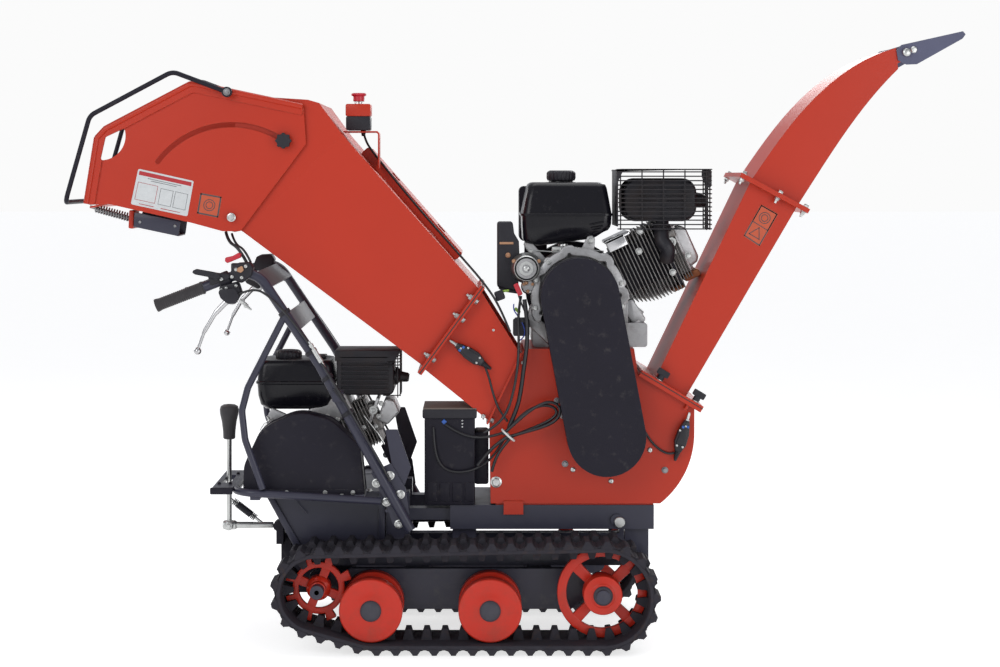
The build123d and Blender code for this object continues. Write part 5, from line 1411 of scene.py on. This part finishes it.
def trackBelt(name, centre, replaces=()):
    size = beltSize
    count = size["lugs"]
    line, tangent, normal = beltLine(size["gap"] + size["thick"] / 2, 200)
    path = np.column_stack([line[:, 0], np.full(len(line), centre), line[:, 1]])
    half, deep = size["width"] / 2, size["thick"] / 2
    section = rounded([(-deep, -half), (deep, -half), (deep, half), (-deep, half)], 4, 3)
    belt = Shape()
    belt.sweep(path, section, (0, 1, 0), True)
    outer = beltLine(size["gap"] + size["thick"], count * 2)
    inner = beltLine(size["gap"], count * 2)
    for shift, y0, y1 in ((0, -half, 8), (1, -8, half)):
        lugs(belt, *(part[shift::2] for part in outer), centre + y0, centre + y1, size["foot"], size["crest"],
             size["lug"], 6)
        lugs(belt, *(part[shift::2] for part in outer), centre + y0 + 5, centre + y1 - 5, size["foot"] * 1.7,
             size["foot"] * 1.1, size["lug"] * 0.3, 2)
    at, ahead, out = (part[1::2] for part in inner)
    for y0, y1 in ((-25, -11.5), (11.5, 25)):
        lugs(belt, at, ahead, -out, centre + y0, centre + y1, 26, 14, size["guide"], 1.5)
    for edge in (-half + 9, half - 9):
        rib = beltLine(size["gap"] + size["thick"], 160)[0]
        belt.sweep(np.column_stack([rib[:, 0], np.full(len(rib), centre + edge), rib[:, 1]]),
                   circle(2.6, 6), (0, 1, 0), True)
    return belt.piece(name, rubber, replaces=replaces)


trackBelt("trackBeltNear", -beltSize["y"], ("rubber_tracks",))
trackBelt("trackBeltFar", beltSize["y"])
print("belts made")


def turned(x, z, length0, length1, halfWidth, angle, flare=1.0):
    # a bar from length0 to length1 along an angle, as an outline in the side view
    c, s = cos(radians(angle)), sin(radians(angle))
    local = np.array([(length0, -halfWidth), (length1, -halfWidth * flare), (length1, halfWidth * flare),
                      (length0, halfWidth)])
    return np.column_stack([x + local[:, 0] * c - local[:, 1] * s, z + local[:, 0] * s + local[:, 1] * c])


def ringBand(shape, centre, inner, outer, y0, y1, edge=1.8):
    # a flat ring: a rounded rectangle carried round a circle
    middle, half = (inner + outer) / 2, (outer - inner) / 2
    deep = (y1 - y0) / 2
    angle = np.linspace(0, 2 * pi, 96, endpoint=False)
    section = rounded([(-half, -deep), (half, -deep), (half, deep), (-half, deep)], edge, 3)
    path = np.column_stack([centre[0] + middle * np.cos(angle), np.full(96, (y0 + y1) / 2),
                            centre[1] + middle * np.sin(angle)])
    shape.sweep(path, section, (0, 1, 0), True)


def domeCap(shape, x, y, z, radius, rise, side):
    # pressed cap: a short wall and a low dome
    bow = np.linspace(0, pi / 2, 7)
    shape.lathe((x, y, z), (0, side, 0), [(-3, radius), (2, radius)]
                + [(2 + rise * sin(t), radius * (1 - 0.12 * t) * cos(t) + 0.001) for t in bow], 40)


capSlate = mouldedPlastic("capSlate", (0.030, 0.029, 0.038), 0.5, 700)
axleGrime = castAlloy("axleGrime", (0.10, 0.085, 0.075), 0.9)


def rollerWheel(side, name, body):
    x, z, radius = wheelsAt[name]
    wheel = Shape()
    y = 318 * side
    inward = -side
    steps = [(0, 26), (0, 34), (1.2, 38), (1.2, radius - 15), (0, radius - 11), (0, radius - 3.5), (1.6, radius - 1),
             (4, radius), (7, radius), (7.6, radius - 3.5), (10.4, radius - 3.5), (11, radius), (39, radius),
             (41, radius - 2), (41, 52), (93, 52), (93, radius - 2), (95, radius), (125, radius), (127, radius - 2),
             (127, 34), (128, 0)]
    wheel.lathe((x, y, z), (0, inward, 0), [(0, 0)] + steps, 80)
    wheel.piece(body + "_disc", wheelOrange, body, 30, (body,))
    cap = Shape()
    domeCap(cap, x, y, z, 26, 9, side)
    cap.piece(body + "_cap", capSlate, body, 40)


def sprocketWheel(side, body):
    x, z, radius = wheelsAt["sprocket"]
    y = 250 * side
    wheel = Shape()
    ringBand(wheel, (x, z), 50, 65, y - 8, y + 8)
    for tooth in range(8):
        outline = rounded(turned(x, z, 60, radius - 2, 9, 23 + 45 * tooth, 1.5), 3, 3)
        wheel.slab(outline, y - 7.9, y + 7.9, 1.4)
    for arm in range(4):
        wheel.slab(rounded(turned(x, z, 16, 55, 10, 68 + 90 * arm, 1.15), 2, 2), y - 7.6, y + 7.6, 1.4)
    near = 290 * side
    inward = -side
    wheel.lathe((x, near, z), (0, inward, 0), [(1.5, 0), (1.5, 12), (0, 13), (0, 18), (1.2, 20), (20, 20), (22, 24),
                                               (28, 30), (52, 31), (54, 28), (54, 0)], 48)
    for bolt in range(5):
        turn = radians(30 + 72 * bolt)
        wheel.hex((x + 25 * cos(turn), near + 27 * inward, z + 25 * sin(turn)), (0, side, 0), 4, 4, False)
    wheel.piece(body + "_star", wheelOrange, body, 30, (body,))
    core = Shape()
    core.lathe((x, near - 2 * inward, z), (0, inward, 0), [(0, 0), (0, 8), (1.5, 11.5), (4, 11.5)], 32)
    core.lathe((x, 318 * side, z), (0, inward, 0), [(0, 0), (0, 6), (3, 9), (30, 9)], 20)
    core.piece(body + "_axle", axleGrime, body, 34)


def idlerWheel(side, body):
    x, z, radius = wheelsAt["idler"]
    y = 250 * side
    wheel = Shape()
    ringBand(wheel, (x, z), radius - 23, radius, y - 9, y + 9, 2.4)
    for arm in range(4):
        wheel.slab(rounded(turned(x, z, 30, radius - 16, 11.5, 45 + 90 * arm, 1.25), 3, 3), y - 8, y + 8, 2.0)
    inward = -side
    near = 300 * side
    wheel.lathe((x, near, z), (0, inward, 0), [(0, 0), (0, 28), (1.5, 29.5), (2.5, 33), (4, 47), (7, 48.5), (58, 48.5),
                                          (60, 46), (60, 0)], 72)
    wheel.piece(body + "_rim", wheelOrange, body, 30, (body,))
    cap = Shape()
    domeCap(cap, x, near, z, 24, 8, side)
    cap.piece(body + "_cap", capSlate, body, 40)


for sideName, side in (("near", -1), ("far", 1)):
    rollerWheel(side, "rear_roller", "rear_roller_" + sideName)
    rollerWheel(side, "front_roller", "front_roller_" + sideName)
    sprocketWheel(side, "sprocket_" + sideName)
    idlerWheel(side, "idler_" + sideName)
print("wheels made")

# Hopper rim, trip cover with its spring, flange seams, bolts and the emergency stop

rimPoints = [(-986, 1108), (-960, 1272), (-938, 1296), (-725, 1408), (-708, 1407), (-444, 1351)]
rim = Shape()
for y in (-228, 228):
    rim.rod([(x, y, z) for x, z in rimPoints], 7.5, 14, 12)
rim.piece("hopperRim", orange, "hopper", 50)

trip = Shape()
outlineTrip = [(-868, 1087), (-752, 1063), (-757, 1027), (-870, 1051)]
trip.slab(rounded(outlineTrip, 4, 3), -212, -209, 1)
trip.slab([(-870, 1053), (-757, 1029), (-758, 1026), (-871, 1050)], -211, -92, 0.6)
trip.slab(rounded(outlineTrip, 4, 3), -95, -92, 1)
trip.piece("tripCover", bodyBlue, "hopper", replaces=("trip_linkage",))
plateEnd = Shape()
plateEnd.slab(rounded([(-884, 1092), (-872, 1090), (-874, 1044), (-886, 1046)], 3, 3), -196, -112, 1.4)
plateEnd.piece("tripPlate", orange, "hopper")
spring = Shape()
start, end = (-976, -155, 1096), (-884, -155, 1070.5)
spring.sweep(helix(start, end, 9.4, 14), circle(2.1, 6))
spring.rod([(-990, -155, 1100), (-872, -155, 1067)], 4)
spring.lathe((-884, -155, 1070.5), (-0.96, 0, 0.27), [(0, 0), (0, 11), (4, 11), (5, 8), (5, 0)], 20)
spring.hex((-872, -155, 1067), (0.96, 0, -0.27), 7, 7)
for y in (-1, 1):
    spring.hex((-631, 256 * y, 1387), (0, y, 0), 7, 5)
for at in ((-854, 1062), (-766, 1052)):
    spring.screw((at[0], -212, at[1]), (0, -1, 0), 4, 2.5)
spring.piece("tripSpring", tool, "hopper")


def flangeSeam(name, corner, run, out, length, half, low, high):
    # a dark gasket whose edge shows between two flanges
    corner, run, out = (np.asarray(v, float) for v in (corner, run, out))
    outline = [corner + run * a + out * o for a, o in ((-0.6, low), (length + 0.6, low), (length + 0.6, high),
                                                       (-0.6, high))]
    seam = Shape()
    seam.slab(outline, -half, half, 0.3, 2)
    seam.piece(name, beltRubber)


inletRun, inletIn = unit(np.array([160.0, 219.0])), unit(np.array([219.0, -160.0]))
outletRun, outletUp = unit(np.array([156.0, -93.0])), unit(np.array([93.0, 156.0]))
elbowRun, elbowUp = unit(np.array([173.0, -93.0])), unit(np.array([93.0, 173.0]))
flangeSeam("inletGasket", (-153, 678), inletRun, inletIn, 271.2, 190.8, -1.4, 1.4)
flangeSeam("outletGasket", (407, 680), outletRun, outletUp, 181.6, 172.8, -0.6, 1.6)


def flangeBolt(shape, corner, run, out, length, y, low, high, across=7.0):
    # a bolt through a flange pair: head on one side, nut on the other
    foot = np.asarray(corner, float) + run * length
    top, bottom = foot + out * high, foot + out * low
    axis = (out[0], 0, out[1])
    shape.hex((top[0], y, top[1]), axis, across, 6)
    shape.hex((bottom[0], y, bottom[1]), (-out[0], 0, -out[1]), across, 7)
    tail = bottom - out * 8
    shape.lathe((tail[0], y, tail[1]), (-out[0], 0, -out[1]), [(-2, 0), (-2, 3.6), (7, 3.6), (8, 2.8), (8, 0)], 14)


flangeMetal = Shape()
for y in (-179, 179):
    for length in (49, 174, 232):
        flangeBolt(flangeMetal, (-153, 678), inletRun, inletIn, length, y, -6, 6)
for y in (-156, 156):
    flangeMetal.screw((34, y * 1.16, 788), (0, -1 if y < 0 else 1, 0), 3.6, 2.2)
flangeMetal.screw((109, -160.5, 704), (0, -1, 0), 5, 3)
for x, z in ((11, 567), (33, 557)):
    flangeMetal.hex((x, -168, z), (-0.9, -0.1, 0.42), 6, 6)
for x, z in ((333, 402), (432, 481), (236, 431)):
    flangeMetal.screw((x, -150, z), (0, -1, 0), 6.5, 3.6)
flangeMetal.hex((41, -150, 399.5), (0, -1, 0), 11, 7)
flangeMetal.lathe((354, -158, 299), (0, -1, 0), [(-2, 0), (-2, 14), (4, 14), (6, 12.5), (6.6, 0)], 36)
for x, z in bar["bracketHoles"]:
    flangeMetal.hex((x, -257, z), (0, -1, 0), 6.6, 5)
    flangeMetal.hex((x, 257, z), (0, 1, 0), 6.6, 5)
for y in (-1, 1):
    flangeMetal.hex((-622, 234 * y, 1074), (0, y, 0), 8.5, 6)
flangeMetal.piece("machineBolts", zinc, replaces=("fasteners",))
elbowMetal = Shape()
for y in (-157, 157):
    for length in (10, 112, 186):
        flangeBolt(elbowMetal, (660, 1181), elbowRun, elbowUp, length, y, -6, 6, 6.4)
    side = -1 if y < 0 else 1
    elbowMetal.lathe((1085, 151 * side, 1492), (0, side, 0),
                     [(-1, 0), (-1, 10.5), (2, 10), (4, 7.5), (4.8, 4), (5, 0)], 26)
elbowMetal.piece("elbowBolts", zinc, "discharge")
tipMetal = Shape()
for side in (-1, 1):
    tipMetal.lathe((1104, 144.5 * side, 1499), (0, side, 0), [(-1, 0), (-1, 9), (1.5, 8.7), (3.6, 6.4), (4.2, 0)], 24)
tipMetal.piece("deflectorBolts", zinc, "deflector")
darkBolts = Shape()
for x, z in ((216, 446), (211, 568), (470, 430), (196, 606)):
    darkBolts.hex((x, -150, z), (0, -1, 0), 6.5, 5)
darkBolts.piece("housingBolts", tool)
for sideName, length in (("left", 51.0), ("right", 157.0)):
    foot = np.array([407.0, 680.0]) + outletRun * length
    low = foot + outletUp * 7
    collar = Shape()
    collar.lathe((low[0], -161, low[1]), (outletUp[0], 0, outletUp[1]), [(0, 0), (0, 10), (2, 10.5), (3, 8), (4, 6),
                                                                          (13, 6), (13, 0)], 20)
    collar.piece("studNut" + sideName, zinc, "discharge")
print("fasteners made")

stop = {"x": (-342, -278), "y": (-150, -82), "z": (1294, 1361), "split": 1330, "button": (-310, -116)}
(x0, x1), (y0, y1), (z0, z1) = stop["x"], stop["y"], stop["z"]
lower = Shape()
lower.brick((x0 + 1, y0 + 1, z0), (x1 - 1, y1 - 1, stop["split"]), 4)
lower.lathe((-300, -86, z0 + 2), (0, 0, -1), [(0, 0), (0, 7), (8, 6), (16, 4.4), (16, 0)], 18)
lower.piece("stopBase", plastic, replaces=("estop_box",))
upper = Shape()
upper.brick((x0, y0, stop["split"] - 0.5), (x1, y1, z1), 4)
upper.slab(rounded([(-348, 1292), (-262, 1292), (-256, 1286), (-256, 1196), (-260, 1196), (-260, 1284), (-264, 1288),
                    (-348, 1288)], 1.5, 3), -142, -90, 1)
upper.piece("stopLid", orange)
cap = Shape()
bx, by = stop["button"]
cap.lathe((bx, by, 1368), (0, 0, 1), [(0, 0), (0, 13), (1, 14.5), (13, 14.5), (15, 18.6), (17, 19.6), (20, 19.2),
                                      (21.5, 15), (22, 0)], 40)
cap.piece("stopButton", red, "estop_button", replaces=("estop_button",))
posts = Shape()
for turn in range(3):
    angle = radians(90 + 120 * turn)
    posts.lathe((bx + 9 * cos(angle), by + 9 * sin(angle), 1356), (0, 0, 1), [(0, 0), (0, 2.4), (13, 2.4), (13, 0)], 12)
posts.piece("stopPosts", bright, "estop_button")
print("emergency stop made")


floorData = bpy.data.meshes.new("floor")
floorData.from_pydata([(-60, -60, 0), (60, -60, 0), (60, 60, 0), (-60, 60, 0)], [], [(0, 1, 2, 3)])
floor = bpy.data.objects.new("floor", floorData)
scene.collection.objects.link(floor)
paleFloor = Finish("paleFloor")
floorData.materials.append(paleFloor.set(colour=paleFloor.mix((0.50, 0.50, 0.50), (0.54, 0.54, 0.54),
                                                              paleFloor.noise(3, 3)), rough=0.7, glow=(1.0, 1.0, 1.0),
                                       glowPower=0.70))
